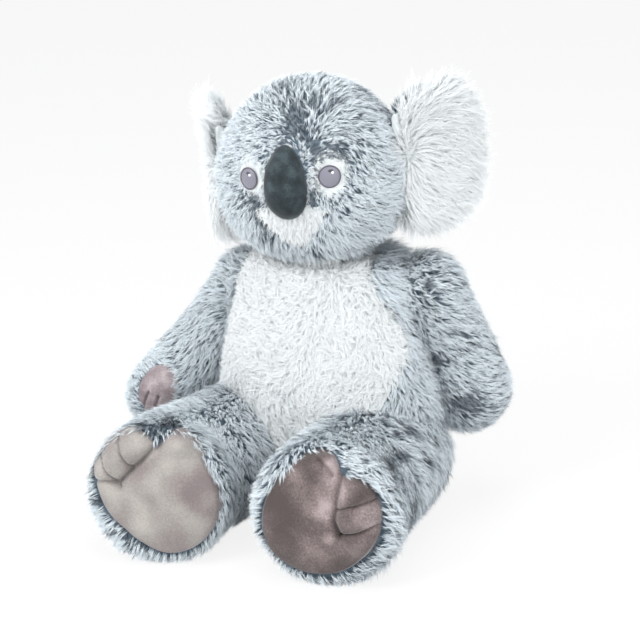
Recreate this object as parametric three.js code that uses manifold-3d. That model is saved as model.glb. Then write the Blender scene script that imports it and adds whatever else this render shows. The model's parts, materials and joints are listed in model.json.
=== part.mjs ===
// Seated plush koala: sewn covers of long-pile fabric over fibre filling, with limbs and ears that bend at
// their seams.
// Millimetres, +Z up. The toy faces -Y and its left side is +X. The floor is z = 0 and the origin lies on it,
// under the middle of the toy's box. Pile stands outside these covers and isn't part of them.
import * as THREE from "three";
import { mergeVertices } from "three/addons/utils/BufferGeometryUtils.js";
import Module from "manifold-3d";

const wasm = await Module();
wasm.setup();

// Fabric, seams and running gaps. A squareness of 2 is a round end, and more is a squarer one.
const COVER_THICKNESS = 3;
const SEAM_GAP = 0.3;
const SWING_GAP = 0.6;
const CUT_OVERRUN = 40;
const ROUND_SQUARENESS_SHARE = 2;

// Torso: a pear with a flat seat
const TORSO_HEIGHT = 346;
const TORSO_WIDTH = 276;
const TORSO_DEPTH = 216;
const TORSO_LEAN = 5;
const BELLY_FORWARD = 9;
const SEAT_FLAT_DEPTH = 0.5;
const SHOULDER_SEAT_DEPTH = 6;
const SEAT_CAP = 40;
const SEAT_SQUARENESS_SHARE = 6;
const NECK_CAP = 60;
const TORSO_WIDTH_SHARES = [0.87, 0.97, 1, 0.99, 0.93, 0.855, 0.76, 0.66];
const TORSO_DEPTH_SHARES = [0.85, 0.94, 1, 0.99, 0.925, 0.81, 0.68, 0.6];
const TORSO_SPINE_SHARES = [0, 0.3, 0.62, 1];
const BELLY_FORWARD_SHARES = [0, 1, 0.8, 0.2];
const TORSO_LEAN_SHARES = [0, 1, 0.8, 0];
const BELLY_PANEL_SHARE = 0.915;
const BELLY_PANEL_START_SHARE = 0.05;

// Neck: a ball of filling with a flat foot, that the head turns and nods on
const NECK_HEIGHT = 330;
const NECK_RADIUS = 58;
const NECK_RIM_DROP = 15;
const NECK_SEAT_DROP = 50;

// Head: rounder in the cheeks than at the crown, carried tilted and a little turned
const HEAD_WIDTH = 222;
const HEAD_DEPTH = 198;
const HEAD_HEIGHT = 212;
const HEAD_RISE = 92;
const HEAD_FORWARD = 10;
const HEAD_TILT = 4;
const HEAD_TURN = 8;
const CHIN_SQUARENESS_SHARE = 2.15;
const CROWN_SQUARENESS_SHARE = 2.1;
const HEAD_WIDTH_SHARES = [0.9, 1, 1.02, 1, 0.97, 0.93, 0.9];
const HEAD_DEPTH_SHARES = [0.92, 1, 1.03, 1.02, 1, 0.97, 0.95];

// Muzzle panel and nose
const MUZZLE_WIDTH = 84;
const MUZZLE_HEIGHT = 50;
const MUZZLE_DROP = 17;
const NOSE_WIDTH = 48;
const NOSE_HEIGHT = 84;
const NOSE_PROUD = 21;
const NOSE_LIFT = 8;
const NOSE_SINK = 8;
const NOSE_FOOT_SQUARENESS_SHARE = 2.5;
const NOSE_TOP_SQUARENESS_SHARE = 2.3;
const NOSE_WIDTH_SHARES = [0.86, 0.98, 1, 0.96, 0.84, 0.72];

// Eyes: embroidered discs on short-pile patches
const EYE_DIAMETER = 26;
const EYE_PROUD = 2;
const EYE_SPACING = 96;
const EYE_LIFT = 13;
const EYE_PATCH_WIDTH = 42;
const EYE_PATCH_HEIGHT = 50;

// Ears: two panels sewn round the rim, set at the widest part of the head
const EAR_WIDTH = 130;
const EAR_HEIGHT = 156;
const EAR_THICKNESS = 30;
const EAR_CUP_DEPTH = 9;
const LEFT_EAR_LIFT = 9;
const RIGHT_EAR_LIFT = 2;
const EAR_ROOT_INSET = 9;
const EAR_FORWARD = 12;
const EAR_SEAT_DEPTH = 15;
const EAR_SQUARENESS_SHARE = 2.2;
const LEFT_EAR_SWEEP = 52;
const RIGHT_EAR_SWEEP = 63;
const EAR_FOLD_RANGE = 15;

// Arms: flat against the torso's side at the shoulder, a rounded hand with a pad at the end
const LEFT_SHOULDER_HEIGHT = 276;
const RIGHT_SHOULDER_HEIGHT = 250;
const LEFT_SHOULDER_BACK = 6;
const RIGHT_SHOULDER_BACK = 30;
const SHOULDER_TILT = 13;
const SHOULDER_TOE_OUT = 11;
const ARM_TOP_REACH = 36;
const LEFT_ARM_REACH = 196;
const RIGHT_ARM_REACH = 218;
const ARM_WIDTH = 104;
const ARM_THICKNESS = 92;
const HAND_CAP = 50;
const ARM_ROOT_OFFSET = 22;
const LEFT_ARM_SPREAD = 10;
const RIGHT_ARM_SPREAD = 48;
const ARM_FORWARD = 18;
const HAND_SQUARENESS_SHARE = 2.3;
const ARM_OUT_SHARES = [0, 0.05, 0.25, 0.65, 1];
const ARM_FORWARD_SHARES = [0, 0, 0.1, 0.45, 1];
const ARM_WIDTH_SHARES = [0.8, 0.84, 0.9, 0.96, 1, 0.98];
const LEFT_ARM_SWING = 20;
const RIGHT_ARM_SWING = -27;
const PAW_PAD_WIDTH = 52;
const PAW_PAD_HEIGHT = 66;
const LEFT_PALM_TURN = -75;
const RIGHT_PALM_TURN = 78;

// Legs: a ball at the hip, a fat straight leg and a flat round sole
const HIP_SPACING = 164;
const LEFT_HIP_FORWARD = 26;
const RIGHT_HIP_FORWARD = 50;
const HIP_RADIUS = 75;
const LEG_LENGTH = 214;
const LEG_WIDTH = 160;
const LEFT_LEG_SPLAY = 2;
const RIGHT_LEG_SPLAY = 13;
const LEFT_FOOT_TURN = 10;
const RIGHT_FOOT_TURN = 29;
const FOOT_TILT = 5;
const FOOT_LENGTH = 60;
const SOLE_CAP = 26;
const SOLE_SQUARENESS_SHARE = 4;
const LEG_SWELL_SHARES = [0, 0, 0, 0.1, 0.8, 1];
const LEG_LIFT_RANGE = 10;
const LEG_DROP_RANGE = 25;
const SWEEP_STEP = 12;
const LEG_OPENING_RADIUS = 34;
const SOLE_WIDTH = 146;

// Facets
const TORSO_SIDES = 26;
const TORSO_RINGS = 6;
const HEAD_SIDES = 24;
const HEAD_CAP_RINGS = 6;
const LIMB_CAP_RINGS = 4;
const SMALL_CAP_RINGS = 4;
const ARM_SIDES = 14;
const ARM_RINGS = 4;
const LEG_SIDES = 18;
const LEG_RINGS = 3;
const EAR_SIDES = 14;
const NOSE_SIDES = 14;
const BALL_SIDES = 20;
const BALL_RINGS = 10;
const EYE_SIDES = 14;
const EYE_RINGS = 6;
const OUTLINE_POINTS = 16;
const MUZZLE_CURVE_POINTS = 5;

const radians = THREE.MathUtils.degToRad;
const vector = (x, y, z) => new THREE.Vector3(x, y, z);
const SIDES = { left: 1, right: -1 };

// A closed geometry as a solid that can be cut and joined.
function solidOf(geometry, matrix = new THREE.Matrix4()) {
  const bare = geometry.clone().applyMatrix4(matrix);
  bare.deleteAttribute("normal");
  bare.deleteAttribute("uv");
  const merged = mergeVertices(bare);
  return new wasm.Manifold(
    new wasm.Mesh({
      numProp: 3,
      vertProperties: new Float32Array(merged.attributes.position.array),
      triVerts: new Uint32Array(merged.index.array),
    }),
  );
}

// A solid's surface as a geometry again.
function geometryOf(solid) {
  const { vertProperties, triVerts } = solid.getMesh();
  const geometry = new THREE.BufferGeometry();
  geometry.setAttribute("position", new THREE.BufferAttribute(vertProperties, 3));
  geometry.setIndex(new THREE.BufferAttribute(triVerts, 1));
  geometry.computeVertexNormals();
  return geometry;
}

const moved = (solid, matrix) => solidOf(geometryOf(solid), matrix);

// A value that runs smoothly through evenly spaced shares, t from 0 to 1.
function smooth(shares, scale = 1) {
  const last = shares.length - 1;
  const points = shares.map((share, i) => vector(i / last, share * scale, 0));
  const curve = new THREE.CatmullRomCurve3(points, false, "catmullrom");
  return (t) => curve.getPoint(THREE.MathUtils.clamp(t, 0, 1)).y;
}

// A stuffed form: elliptical rings along a spine, closed by a cap at each end. A cap is a quarter ellipse in profile
// when round. inset draws the whole surface in, and a negative inset lets it out.
function stuffedForm(form, inset = 0) {
  const { spine, across, halfWidth, halfDepth, start, end, rings, sides } = form;
  const length = spine.getLength();
  const cap = (i, { cap, squareness, rings }) => {
    const angle = (Math.PI / 2) * (i / rings);
    const [reach, swell] = [Math.cos(angle), Math.sin(angle)].map((share) => Math.max(share, 0) ** (2 / squareness));
    return [cap - (cap - inset) * reach, swell];
  };
  const stations = [];
  for (let i = 0; i <= start.rings; i++) stations.push(cap(i, start));
  for (let i = 1; i < rings; i++) {
    stations.push([start.cap + ((length - start.cap - end.cap) * i) / rings, 1]);
  }
  for (let i = end.rings - (rings ? 0 : 1); i >= 0; i--) {
    const [reach, swell] = cap(i, end);
    stations.push([length - reach, swell]);
  }
  const positions = [];
  const index = [];
  const last = stations.length - 1;
  stations.forEach(([reach, swell], station) => {
    const t = THREE.MathUtils.clamp(reach / length, 0, 1);
    const tangent = spine.getTangentAt(t);
    const centre = spine.getPointAt(t).addScaledVector(tangent, reach - t * length);
    const widthAxis = across.clone().addScaledVector(tangent, -across.dot(tangent)).normalize();
    const depthAxis = tangent.clone().cross(widthAxis);
    const pole = station === 0 || station === last;
    for (let side = 0; side < (pole ? 1 : sides); side++) {
      const angle = (2 * Math.PI * side) / sides;
      const point = centre.clone();
      if (!pole) {
        point.addScaledVector(widthAxis, (halfWidth(t) - inset) * swell * Math.cos(angle));
        point.addScaledVector(depthAxis, (halfDepth(t) - inset) * swell * Math.sin(angle));
      }
      positions.push(point.x, point.y, point.z);
    }
  });
  const at = (station, side) => 1 + (station - 1) * sides + (side % sides);
  const top = 1 + (last - 1) * sides;
  for (let side = 0; side < sides; side++) {
    index.push(0, at(1, side + 1), at(1, side));
    index.push(top, at(last - 1, side), at(last - 1, side + 1));
    for (let station = 1; station < last - 1; station++) {
      index.push(at(station, side), at(station, side + 1), at(station + 1, side + 1));
      index.push(at(station, side), at(station + 1, side + 1), at(station + 1, side));
    }
  }
  const geometry = new THREE.BufferGeometry();
  geometry.setAttribute("position", new THREE.Float32BufferAttribute(positions, 3));
  geometry.setIndex(index);
  return solidOf(geometry);
}

// A stuffed form as its outer skin, the hollow cover and the filling inside it.
function coverAndFilling(form) {
  const outer = stuffedForm(form);
  return {
    outer,
    cover: outer.subtract(stuffedForm(form, COVER_THICKNESS)),
    filling: stuffedForm(form, COVER_THICKNESS + SEAM_GAP),
  };
}

const ball = (radius, centre) =>
  solidOf(
    new THREE.SphereGeometry(radius, BALL_SIDES, BALL_RINGS),
    new THREE.Matrix4().makeTranslation(centre).multiply(new THREE.Matrix4().makeRotationX(Math.PI / 2)),
  );

// A ball whose flat facets all lie outside the radius, as the room for a faceted form that turns in it.
function ballRoom(radius, centre) {
  const facetShare = Math.cos(Math.PI / BALL_SIDES) ** 2;
  return ball((radius + SWING_GAP) / facetShare, centre);
}

// A prism of a closed outline, from the plane of the outline along +Z by depth, then placed by matrix.
function prism(outline, depth, matrix) {
  const shape = new THREE.Shape(outline);
  return solidOf(new THREE.ExtrudeGeometry(shape, { depth, bevelEnabled: false }), matrix);
}

// Points round an ellipse.
function ovalOutline(width, height) {
  return Array.from({ length: OUTLINE_POINTS }, (_, i) => {
    const angle = (2 * Math.PI * i) / OUTLINE_POINTS;
    return new THREE.Vector2((width / 2) * Math.cos(angle), (height / 2) * Math.sin(angle));
  });
}

// A frame whose Z axis looks along a direction from a point, with Y as near to +Z of the part as it can be.
function looking(from, direction) {
  const z = direction.clone().normalize();
  const x = vector(0, 0, 1).cross(z).normalize();
  const y = z.clone().cross(x);
  return new THREE.Matrix4().makeBasis(x, y, z).setPosition(from);
}

// A panel let into a cover: what lies inside the outline, and the cover that is left round it.
function letIn(cover, width, height, matrix, depth) {
  const inside = prism(ovalOutline(width, height), depth, matrix);
  const round = prism(ovalOutline(width + 2 * SEAM_GAP, height + 2 * SEAM_GAP), depth, matrix);
  return { panel: cover.intersect(inside), rest: cover.subtract(round) };
}

// Fabrics and filling
const fabrics = {
  greyPile: { color: 0xa9b4bb, roughness: 0.95, metalness: 0 },
  whitePile: { color: 0xe9ebec, roughness: 0.95, metalness: 0 },
  taupePlush: { color: 0xa2908e, roughness: 0.85, metalness: 0 },
  charcoalVelour: { color: 0x41494d, roughness: 0.8, metalness: 0 },
  eyeThread: { color: 0x9c96a0, roughness: 0.45, metalness: 0 },
  filling: { color: 0xf4f2ee, roughness: 1, metalness: 0 },
};

function piece(name, solid, fabric) {
  const mesh = new THREE.Mesh(geometryOf(solid), new THREE.MeshStandardMaterial(fabrics[fabric]));
  mesh.name = name;
  return mesh;
}

function placed(position, rotation) {
  const group = new THREE.Group();
  group.position.copy(position);
  group.rotation.copy(rotation);
  group.updateMatrix();
  return group;
}

// Torso
const torsoHalfWidth = smooth(TORSO_WIDTH_SHARES, TORSO_WIDTH / 2);
const torsoHalfDepth = smooth(TORSO_DEPTH_SHARES, TORSO_DEPTH / 2);
const torsoForm = {
  spine: new THREE.CatmullRomCurve3(
    TORSO_SPINE_SHARES.map((share, i) =>
      vector(
        TORSO_LEAN * TORSO_LEAN_SHARES[i],
        -BELLY_FORWARD * BELLY_FORWARD_SHARES[i],
        TORSO_HEIGHT * share - SEAT_FLAT_DEPTH,
      ),
    ),
  ),
  across: vector(1, 0, 0),
  halfWidth: torsoHalfWidth,
  halfDepth: torsoHalfDepth,
  start: { cap: SEAT_CAP, squareness: SEAT_SQUARENESS_SHARE, rings: LIMB_CAP_RINGS },
  end: { cap: NECK_CAP, squareness: ROUND_SQUARENESS_SHARE, rings: LIMB_CAP_RINGS },
  rings: TORSO_RINGS,
  sides: TORSO_SIDES,
};
const torsoParts = coverAndFilling(torsoForm);
const neckCentre = vector(torsoForm.spine.getPointAt(NECK_HEIGHT / TORSO_HEIGHT).x, -BELLY_FORWARD / 2, NECK_HEIGHT);

// The farthest that a solid reaches along a direction.
function reachAlong(solid, direction) {
  const { vertProperties } = solid.getMesh();
  let reach = -Infinity;
  for (let i = 0; i < vertProperties.length; i += 3) {
    reach = Math.max(reach, vector().fromArray(vertProperties, i).dot(direction));
  }
  return reach;
}

// The shoulder's frame: X is the hinge, square to the flat where the arm lies on the torso's side.
function shoulderGroup(side, { swing, height, back }) {
  const turn = new THREE.Euler(
    radians(swing),
    radians(-side * SHOULDER_TILT),
    radians(side * SHOULDER_TOE_OUT),
    "ZYX",
  );
  const outward = vector(side, 0, 0).applyEuler(turn);
  const flat = reachAlong(torsoParts.outer, outward) - SHOULDER_SEAT_DEPTH;
  const x = (flat - outward.z * height - outward.y * back) / outward.x;
  const group = placed(vector(x, back, height), turn);
  return { group, outward, flat };
}

// The arm hangs from the shoulder, bowing outwards by its spread and a little forwards.
function armForm(side, { spread, reach }) {
  const down = [ARM_TOP_REACH, ARM_TOP_REACH / 4, -reach / 3, -reach * (2 / 3), -reach];
  const points = down.map((z, i) =>
    vector(side * (ARM_ROOT_OFFSET + spread * ARM_OUT_SHARES[i]), -ARM_FORWARD * ARM_FORWARD_SHARES[i], z),
  );
  return {
    spine: new THREE.CatmullRomCurve3(points),
    across: vector(0, 1, 0),
    halfWidth: smooth(ARM_WIDTH_SHARES, ARM_WIDTH / 2),
    halfDepth: smooth(ARM_WIDTH_SHARES, ARM_THICKNESS / 2),
    start: { cap: ARM_TOP_REACH, squareness: ROUND_SQUARENESS_SHARE, rings: LIMB_CAP_RINGS },
    end: { cap: HAND_CAP, squareness: HAND_SQUARENESS_SHARE, rings: LIMB_CAP_RINGS },
    rings: ARM_RINGS,
    sides: ARM_SIDES,
  };
}

// An arm cut flat where it lies on the torso, with the paw pad let into the palm.
function buildArm(name, pose) {
  const side = SIDES[name];
  const { group, outward, flat } = shoulderGroup(side, pose);
  const form = armForm(side, pose);
  const { cover, filling } = coverAndFilling(form);
  const seam = [side, 0, 0];
  const handCentre = form.spine.getPointAt(1 - ARM_WIDTH / 2 / form.spine.getLength());
  const palm = vector(-side * Math.cos(radians(pose.palmTurn)), -Math.sin(radians(pose.palmTurn)), 0);
  const { panel, rest } = letIn(
    cover.trimByPlane(seam, SEAM_GAP),
    PAW_PAD_WIDTH,
    PAW_PAD_HEIGHT,
    looking(handCentre, palm),
    ARM_WIDTH,
  );
  group.add(piece(`arm_cover_${name}`, rest, "greyPile"));
  group.add(piece(`paw_pad_${name}`, panel, "taupePlush"));
  group.add(piece(`arm_filling_${name}`, filling.trimByPlane(seam, SEAM_GAP), "filling"));
  return { group, outward, flat };
}

const arms = {
  left: buildArm("left", {
    swing: LEFT_ARM_SWING,
    height: LEFT_SHOULDER_HEIGHT,
    back: LEFT_SHOULDER_BACK,
    spread: LEFT_ARM_SPREAD,
    reach: LEFT_ARM_REACH,
    palmTurn: LEFT_PALM_TURN,
  }),
  right: buildArm("right", {
    swing: RIGHT_ARM_SWING,
    height: RIGHT_SHOULDER_HEIGHT,
    back: RIGHT_SHOULDER_BACK,
    spread: RIGHT_ARM_SPREAD,
    reach: RIGHT_ARM_REACH,
    palmTurn: RIGHT_PALM_TURN,
  }),
};

// Legs: each rests on the floor along its length
const HIP_HEIGHT = LEG_WIDTH / 2 - SEAT_FLAT_DEPTH;

const legSwell = smooth(LEG_SWELL_SHARES);
const legHalfWidth = (t) => THREE.MathUtils.lerp(HIP_RADIUS, LEG_WIDTH / 2, legSwell(t));

// The leg's spine runs from behind the hip to the sole.
function legForm(footTurn) {
  const ankle = vector(0, FOOT_LENGTH - LEG_LENGTH, 0);
  const footward = vector(0, -1, 0).applyEuler(new THREE.Euler(radians(-FOOT_TILT), 0, radians(footTurn), "ZXY"));
  const points = [
    vector(0, HIP_RADIUS, 0),
    vector(0, (FOOT_LENGTH - LEG_LENGTH) / 2, 0),
    ankle,
    ankle.clone().addScaledVector(footward, FOOT_LENGTH),
  ];
  return {
    spine: new THREE.CatmullRomCurve3(points),
    footward,
    across: vector(1, 0, 0),
    halfWidth: legHalfWidth,
    halfDepth: legHalfWidth,
    start: { cap: HIP_RADIUS, squareness: ROUND_SQUARENESS_SHARE, rings: LIMB_CAP_RINGS },
    end: { cap: SOLE_CAP, squareness: SOLE_SQUARENESS_SHARE, rings: LIMB_CAP_RINGS },
    rings: LEG_RINGS,
    sides: LEG_SIDES,
  };
}

// The room that a leg needs in the torso: a ball at the hip, and the thigh at steps through its range.
function legRoom() {
  const facetShare = Math.cos(Math.PI / LEG_SIDES);
  const radius = (HIP_RADIUS + SWING_GAP) / facetShare;
  const kneeRadius = (legHalfWidth(HIP_RADIUS / LEG_LENGTH + 1 / 3) + 2 * SWING_GAP) / facetShare;
  const thigh = solidOf(
    new THREE.CylinderGeometry(radius, kneeRadius, LEG_LENGTH / 2, LEG_SIDES),
    new THREE.Matrix4().makeTranslation(0, -LEG_LENGTH / 4, 0),
  );
  let room = ballRoom(HIP_RADIUS, vector(0, 0, 0));
  const steps = Math.ceil((LEG_DROP_RANGE + LEG_LIFT_RANGE) / SWEEP_STEP);
  for (let i = 0; i <= steps; i++) {
    const angle = THREE.MathUtils.lerp(-LEG_LIFT_RANGE, LEG_DROP_RANGE, i / steps);
    room = room.add(moved(thigh, new THREE.Matrix4().makeRotationX(radians(angle))));
  }
  return room;
}

// A leg with its sole let into the foot, and the room that it needs in the torso.
function buildLeg(name, { forward, splay, footTurn }) {
  const side = SIDES[name];
  const position = vector((side * HIP_SPACING) / 2, -forward, HIP_HEIGHT);
  const group = placed(position, new THREE.Euler(0, 0, radians(side * splay)));
  const form = legForm(footTurn);
  const { cover, filling } = coverAndFilling(form);
  const floor = [0, 0, 1];
  const low = -HIP_HEIGHT;
  const opening = ball(LEG_OPENING_RADIUS, vector(0, HIP_RADIUS, 0));
  const soleStart = form.spine.getPointAt(1).addScaledVector(form.footward, -FOOT_LENGTH / 2);
  const { panel, rest } = letIn(
    cover.subtract(opening),
    SOLE_WIDTH,
    SOLE_WIDTH,
    looking(soleStart, form.footward),
    LEG_LENGTH,
  );
  group.add(piece(`leg_cover_${name}`, rest.trimByPlane(floor, low), "greyPile"));
  group.add(piece(`foot_sole_${name}`, panel.trimByPlane(floor, low), "taupePlush"));
  group.add(piece(`leg_filling_${name}`, filling.trimByPlane(floor, low), "filling"));
  return { group, room: moved(legRoom(), group.matrix) };
}

const legs = {
  left: buildLeg("left", { forward: LEFT_HIP_FORWARD, splay: LEFT_LEG_SPLAY, footTurn: LEFT_FOOT_TURN }),
  right: buildLeg("right", { forward: RIGHT_HIP_FORWARD, splay: RIGHT_LEG_SPLAY, footTurn: RIGHT_FOOT_TURN }),
};

// Torso pieces, cut for the neck, the shoulders and the legs
function cutForLimbs(solid) {
  const neckSeat = NECK_HEIGHT - NECK_SEAT_DROP - SEAM_GAP;
  const neckHollow = ballRoom(NECK_RADIUS, neckCentre).trimByPlane([0, 0, 1], neckSeat);
  let cut = solid.subtract(neckHollow).trimByPlane([0, 0, -1], NECK_RIM_DROP - NECK_HEIGHT);
  for (const { outward, flat } of Object.values(arms)) {
    cut = cut.trimByPlane([-outward.x, -outward.y, -outward.z], -flat);
  }
  for (const { room } of Object.values(legs)) cut = cut.subtract(room);
  return cut.trimByPlane([0, 0, 1], 0);
}

// The belly panel's outline follows the torso's own half width.
function bellyOutline(extra) {
  const heights = Array.from({ length: OUTLINE_POINTS / 2 }, (_, i) =>
    THREE.MathUtils.lerp(BELLY_PANEL_START_SHARE, 1, (i + 1) / (OUTLINE_POINTS / 2)),
  );
  const side = (sign) =>
    heights.map(
      (share) =>
        new THREE.Vector2(
          sign * (torsoHalfWidth(share) * BELLY_PANEL_SHARE + extra),
          TORSO_HEIGHT * share + (share === 1 ? CUT_OVERRUN : 0),
        ),
    );
  const start = new THREE.Vector2(0, TORSO_HEIGHT * BELLY_PANEL_START_SHARE - extra);
  return [start, ...side(1), ...side(-1).reverse()];
}

const front = new THREE.Matrix4().makeRotationX(Math.PI / 2);
const torsoCover = cutForLimbs(torsoParts.cover);
const bellyPanel = torsoCover.intersect(prism(bellyOutline(0), TORSO_DEPTH, front));
const torsoBack = torsoCover.subtract(prism(bellyOutline(SEAM_GAP), TORSO_DEPTH, front));

// Head, in its own frame: the neck is the origin and the face looks along -Y
const headCentre = vector(0, -HEAD_FORWARD, HEAD_RISE);
const headForm = {
  spine: new THREE.CatmullRomCurve3([
    headCentre.clone().add(vector(0, 0, -HEAD_HEIGHT / 2)),
    headCentre,
    headCentre.clone().add(vector(0, 0, HEAD_HEIGHT / 2)),
  ]),
  across: vector(1, 0, 0),
  halfWidth: smooth(HEAD_WIDTH_SHARES, HEAD_WIDTH / 2),
  halfDepth: smooth(HEAD_DEPTH_SHARES, HEAD_DEPTH / 2),
  start: { cap: HEAD_HEIGHT / 2, squareness: CHIN_SQUARENESS_SHARE, rings: HEAD_CAP_RINGS },
  end: { cap: HEAD_HEIGHT / 2, squareness: CROWN_SQUARENESS_SHARE, rings: HEAD_CAP_RINGS },
  rings: 0,
  sides: HEAD_SIDES,
};
const headParts = coverAndFilling(headForm);
const neckRoom = ballRoom(NECK_RADIUS, vector(0, 0, 0));

// The front of the head at a place on the face, with the direction that it looks.
function facePoint(x, z) {
  const share = z / HEAD_HEIGHT + 1 / 2;
  const halfWidth = headForm.halfWidth(share) * Math.sqrt(1 - Math.abs(2 * share - 1) ** 2);
  const halfDepth = headForm.halfDepth(share) * Math.sqrt(1 - Math.abs(2 * share - 1) ** 2);
  const y = -halfDepth * Math.sqrt(1 - (x / halfWidth) ** 2);
  const point = headCentre.clone().add(vector(x, y, z));
  const outward = vector(x / halfWidth ** 2, y / halfDepth ** 2, (z / (HEAD_HEIGHT / 2) ** 2) / 2).normalize();
  return { point, outward };
}

// The nose is a padded form that lies against the head's cover.
function buildNose() {
  const { point } = facePoint(0, NOSE_LIFT);
  const centre = point.clone().add(vector(0, NOSE_SINK, 0));
  const form = {
    spine: new THREE.CatmullRomCurve3([
      centre.clone().add(vector(0, NOSE_PROUD / 4, -NOSE_HEIGHT / 2)),
      centre.clone().add(vector(0, -NOSE_PROUD / 4, 0)),
      centre.clone().add(vector(0, NOSE_PROUD / 2, NOSE_HEIGHT / 2)),
    ]),
    across: vector(1, 0, 0),
    halfWidth: smooth(NOSE_WIDTH_SHARES, NOSE_WIDTH / 2),
    halfDepth: smooth(NOSE_WIDTH_SHARES, NOSE_PROUD),
    start: { cap: NOSE_HEIGHT / 2, squareness: NOSE_FOOT_SQUARENESS_SHARE, rings: SMALL_CAP_RINGS },
    end: { cap: NOSE_HEIGHT / 2, squareness: NOSE_TOP_SQUARENESS_SHARE, rings: SMALL_CAP_RINGS },
    rings: 0,
    sides: NOSE_SIDES,
  };
  return stuffedForm(form).subtract(stuffedForm(headForm, -SEAM_GAP));
}

// An eye is a shallow disc on its patch.
function buildEye(side) {
  const { point, outward } = facePoint((side * EYE_SPACING) / 2, EYE_LIFT);
  const frame = looking(point, outward);
  const flat = new THREE.Matrix4().makeScale(EYE_DIAMETER / 2, EYE_DIAMETER / 2, EYE_PROUD * 2);
  const disc = solidOf(new THREE.SphereGeometry(1, EYE_SIDES, EYE_RINGS), frame.multiply(flat));
  return disc.subtract(stuffedForm(headForm, -SEAM_GAP));
}

// The muzzle panel's outline: straight above, round below.
function muzzleOutline(extra) {
  const half = MUZZLE_WIDTH / 2 + extra;
  const top = -MUZZLE_DROP + extra;
  const bottom = -MUZZLE_DROP - MUZZLE_HEIGHT - extra;
  const shape = new THREE.Shape();
  shape.moveTo(-half, top);
  shape.lineTo(half, top);
  shape.bezierCurveTo(half, (top + bottom) / 2, half / 2, bottom, 0, bottom);
  shape.bezierCurveTo(-half / 2, bottom, -half, (top + bottom) / 2, -half, top);
  return shape.getPoints(MUZZLE_CURVE_POINTS).slice(0, -1);
}

function buildHead() {
  const turn = new THREE.Euler(0, radians(-HEAD_TILT), radians(HEAD_TURN), "ZYX");
  const group = placed(neckCentre, turn);
  const faceward = front.clone().setPosition(headCentre);
  let cover = headParts.cover.subtract(neckRoom);
  const muzzle = cover.intersect(prism(muzzleOutline(0), HEAD_DEPTH, faceward));
  cover = cover.subtract(prism(muzzleOutline(SEAM_GAP), HEAD_DEPTH, faceward));
  for (const [name, side] of Object.entries(SIDES)) {
    const { point, outward } = facePoint((side * EYE_SPACING) / 2, EYE_LIFT);
    const inner = point.clone().addScaledVector(outward, -HEAD_DEPTH / 4);
    const matrix = looking(inner, outward);
    const { panel, rest } = letIn(cover, EYE_PATCH_WIDTH, EYE_PATCH_HEIGHT, matrix, HEAD_DEPTH / 2);
    cover = rest;
    group.add(piece(`eye_patch_${name}`, panel, "whitePile"));
    group.add(piece(`eye_${name}`, buildEye(side), "eyeThread"));
  }
  group.add(piece("head_cover", cover, "greyPile"));
  group.add(piece("muzzle_panel", muzzle, "whitePile"));
  group.add(piece("head_filling", headParts.filling.subtract(neckRoom), "filling"));
  group.add(piece("nose", buildNose(), "charcoalVelour"));
  return group;
}

// An ear, in its hinge's frame: X points out from the head, and the open face looks along -Y
function buildEar(name, { sweep, lift }) {
  const side = SIDES[name];
  const reach = HEAD_WIDTH / 2 - EAR_ROOT_INSET;
  const seat = vector(side * reach, -HEAD_FORWARD - EAR_FORWARD, HEAD_RISE + lift);
  const group = placed(seat, new THREE.Euler(0, 0, radians(side * sweep)));
  const middle = side * (EAR_WIDTH / 2 - EAR_SEAT_DEPTH);
  const cap = { cap: EAR_HEIGHT / 2, squareness: EAR_SQUARENESS_SHARE, rings: SMALL_CAP_RINGS };
  const form = {
    spine: new THREE.CatmullRomCurve3([
      vector(middle, -EAR_CUP_DEPTH, -EAR_HEIGHT / 2),
      vector(middle, 0, 0),
      vector(middle, -EAR_CUP_DEPTH, EAR_HEIGHT / 2),
    ]),
    across: vector(1, 0, 0),
    halfWidth: () => EAR_WIDTH / 2,
    halfDepth: () => EAR_THICKNESS / 2,
    start: cap,
    end: cap,
    rings: 0,
    sides: EAR_SIDES,
  };
  const head = stuffedForm(headForm, -SWING_GAP);
  const inverse = group.matrix.clone().invert();
  let ear = stuffedForm(form);
  for (const angle of [-EAR_FOLD_RANGE, 0, EAR_FOLD_RANGE]) {
    const fold = new THREE.Matrix4().makeRotationZ(radians(angle)).multiply(inverse);
    ear = ear.subtract(moved(head, fold));
  }
  group.add(piece(`ear_back_${name}`, ear.trimByPlane([0, 1, 0], SEAM_GAP / 2), "greyPile"));
  group.add(piece(`ear_front_${name}`, ear.trimByPlane([0, -1, 0], SEAM_GAP / 2), "whitePile"));
  return group;
}

const koala = new THREE.Group();
koala.name = "plush_koala";
koala.add(piece("torso_cover", torsoBack, "greyPile"));
koala.add(piece("belly_panel", bellyPanel, "whitePile"));
koala.add(piece("torso_filling", cutForLimbs(torsoParts.filling), "filling"));
const neck = ball(NECK_RADIUS, neckCentre).trimByPlane([0, 0, 1], NECK_HEIGHT - NECK_SEAT_DROP);
koala.add(piece("neck_filling", neck, "filling"));
const head = buildHead();
head.add(buildEar("left", { sweep: LEFT_EAR_SWEEP, lift: LEFT_EAR_LIFT }));
head.add(buildEar("right", { sweep: RIGHT_EAR_SWEEP, lift: RIGHT_EAR_LIFT }));
koala.add(head);
koala.add(arms.left.group, arms.right.group, legs.left.group, legs.right.group);
const middle = new THREE.Box3().setFromObject(koala, true).getCenter(vector());
koala.position.set(-middle.x, -middle.y, 0);

export default koala;
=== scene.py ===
"""Seated plush koala: long frosted pile, velvety creased soles, a padded velour nose and embroidered eyes.

Lengths are metres in the part's own frame: +Z up, the toy faces -Y and its left side is +X.
"""

import json
import logging
import math
from dataclasses import dataclass
from enum import Enum
from typing import Callable

import bpy
import numpy as np
from mathutils import Matrix

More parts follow.
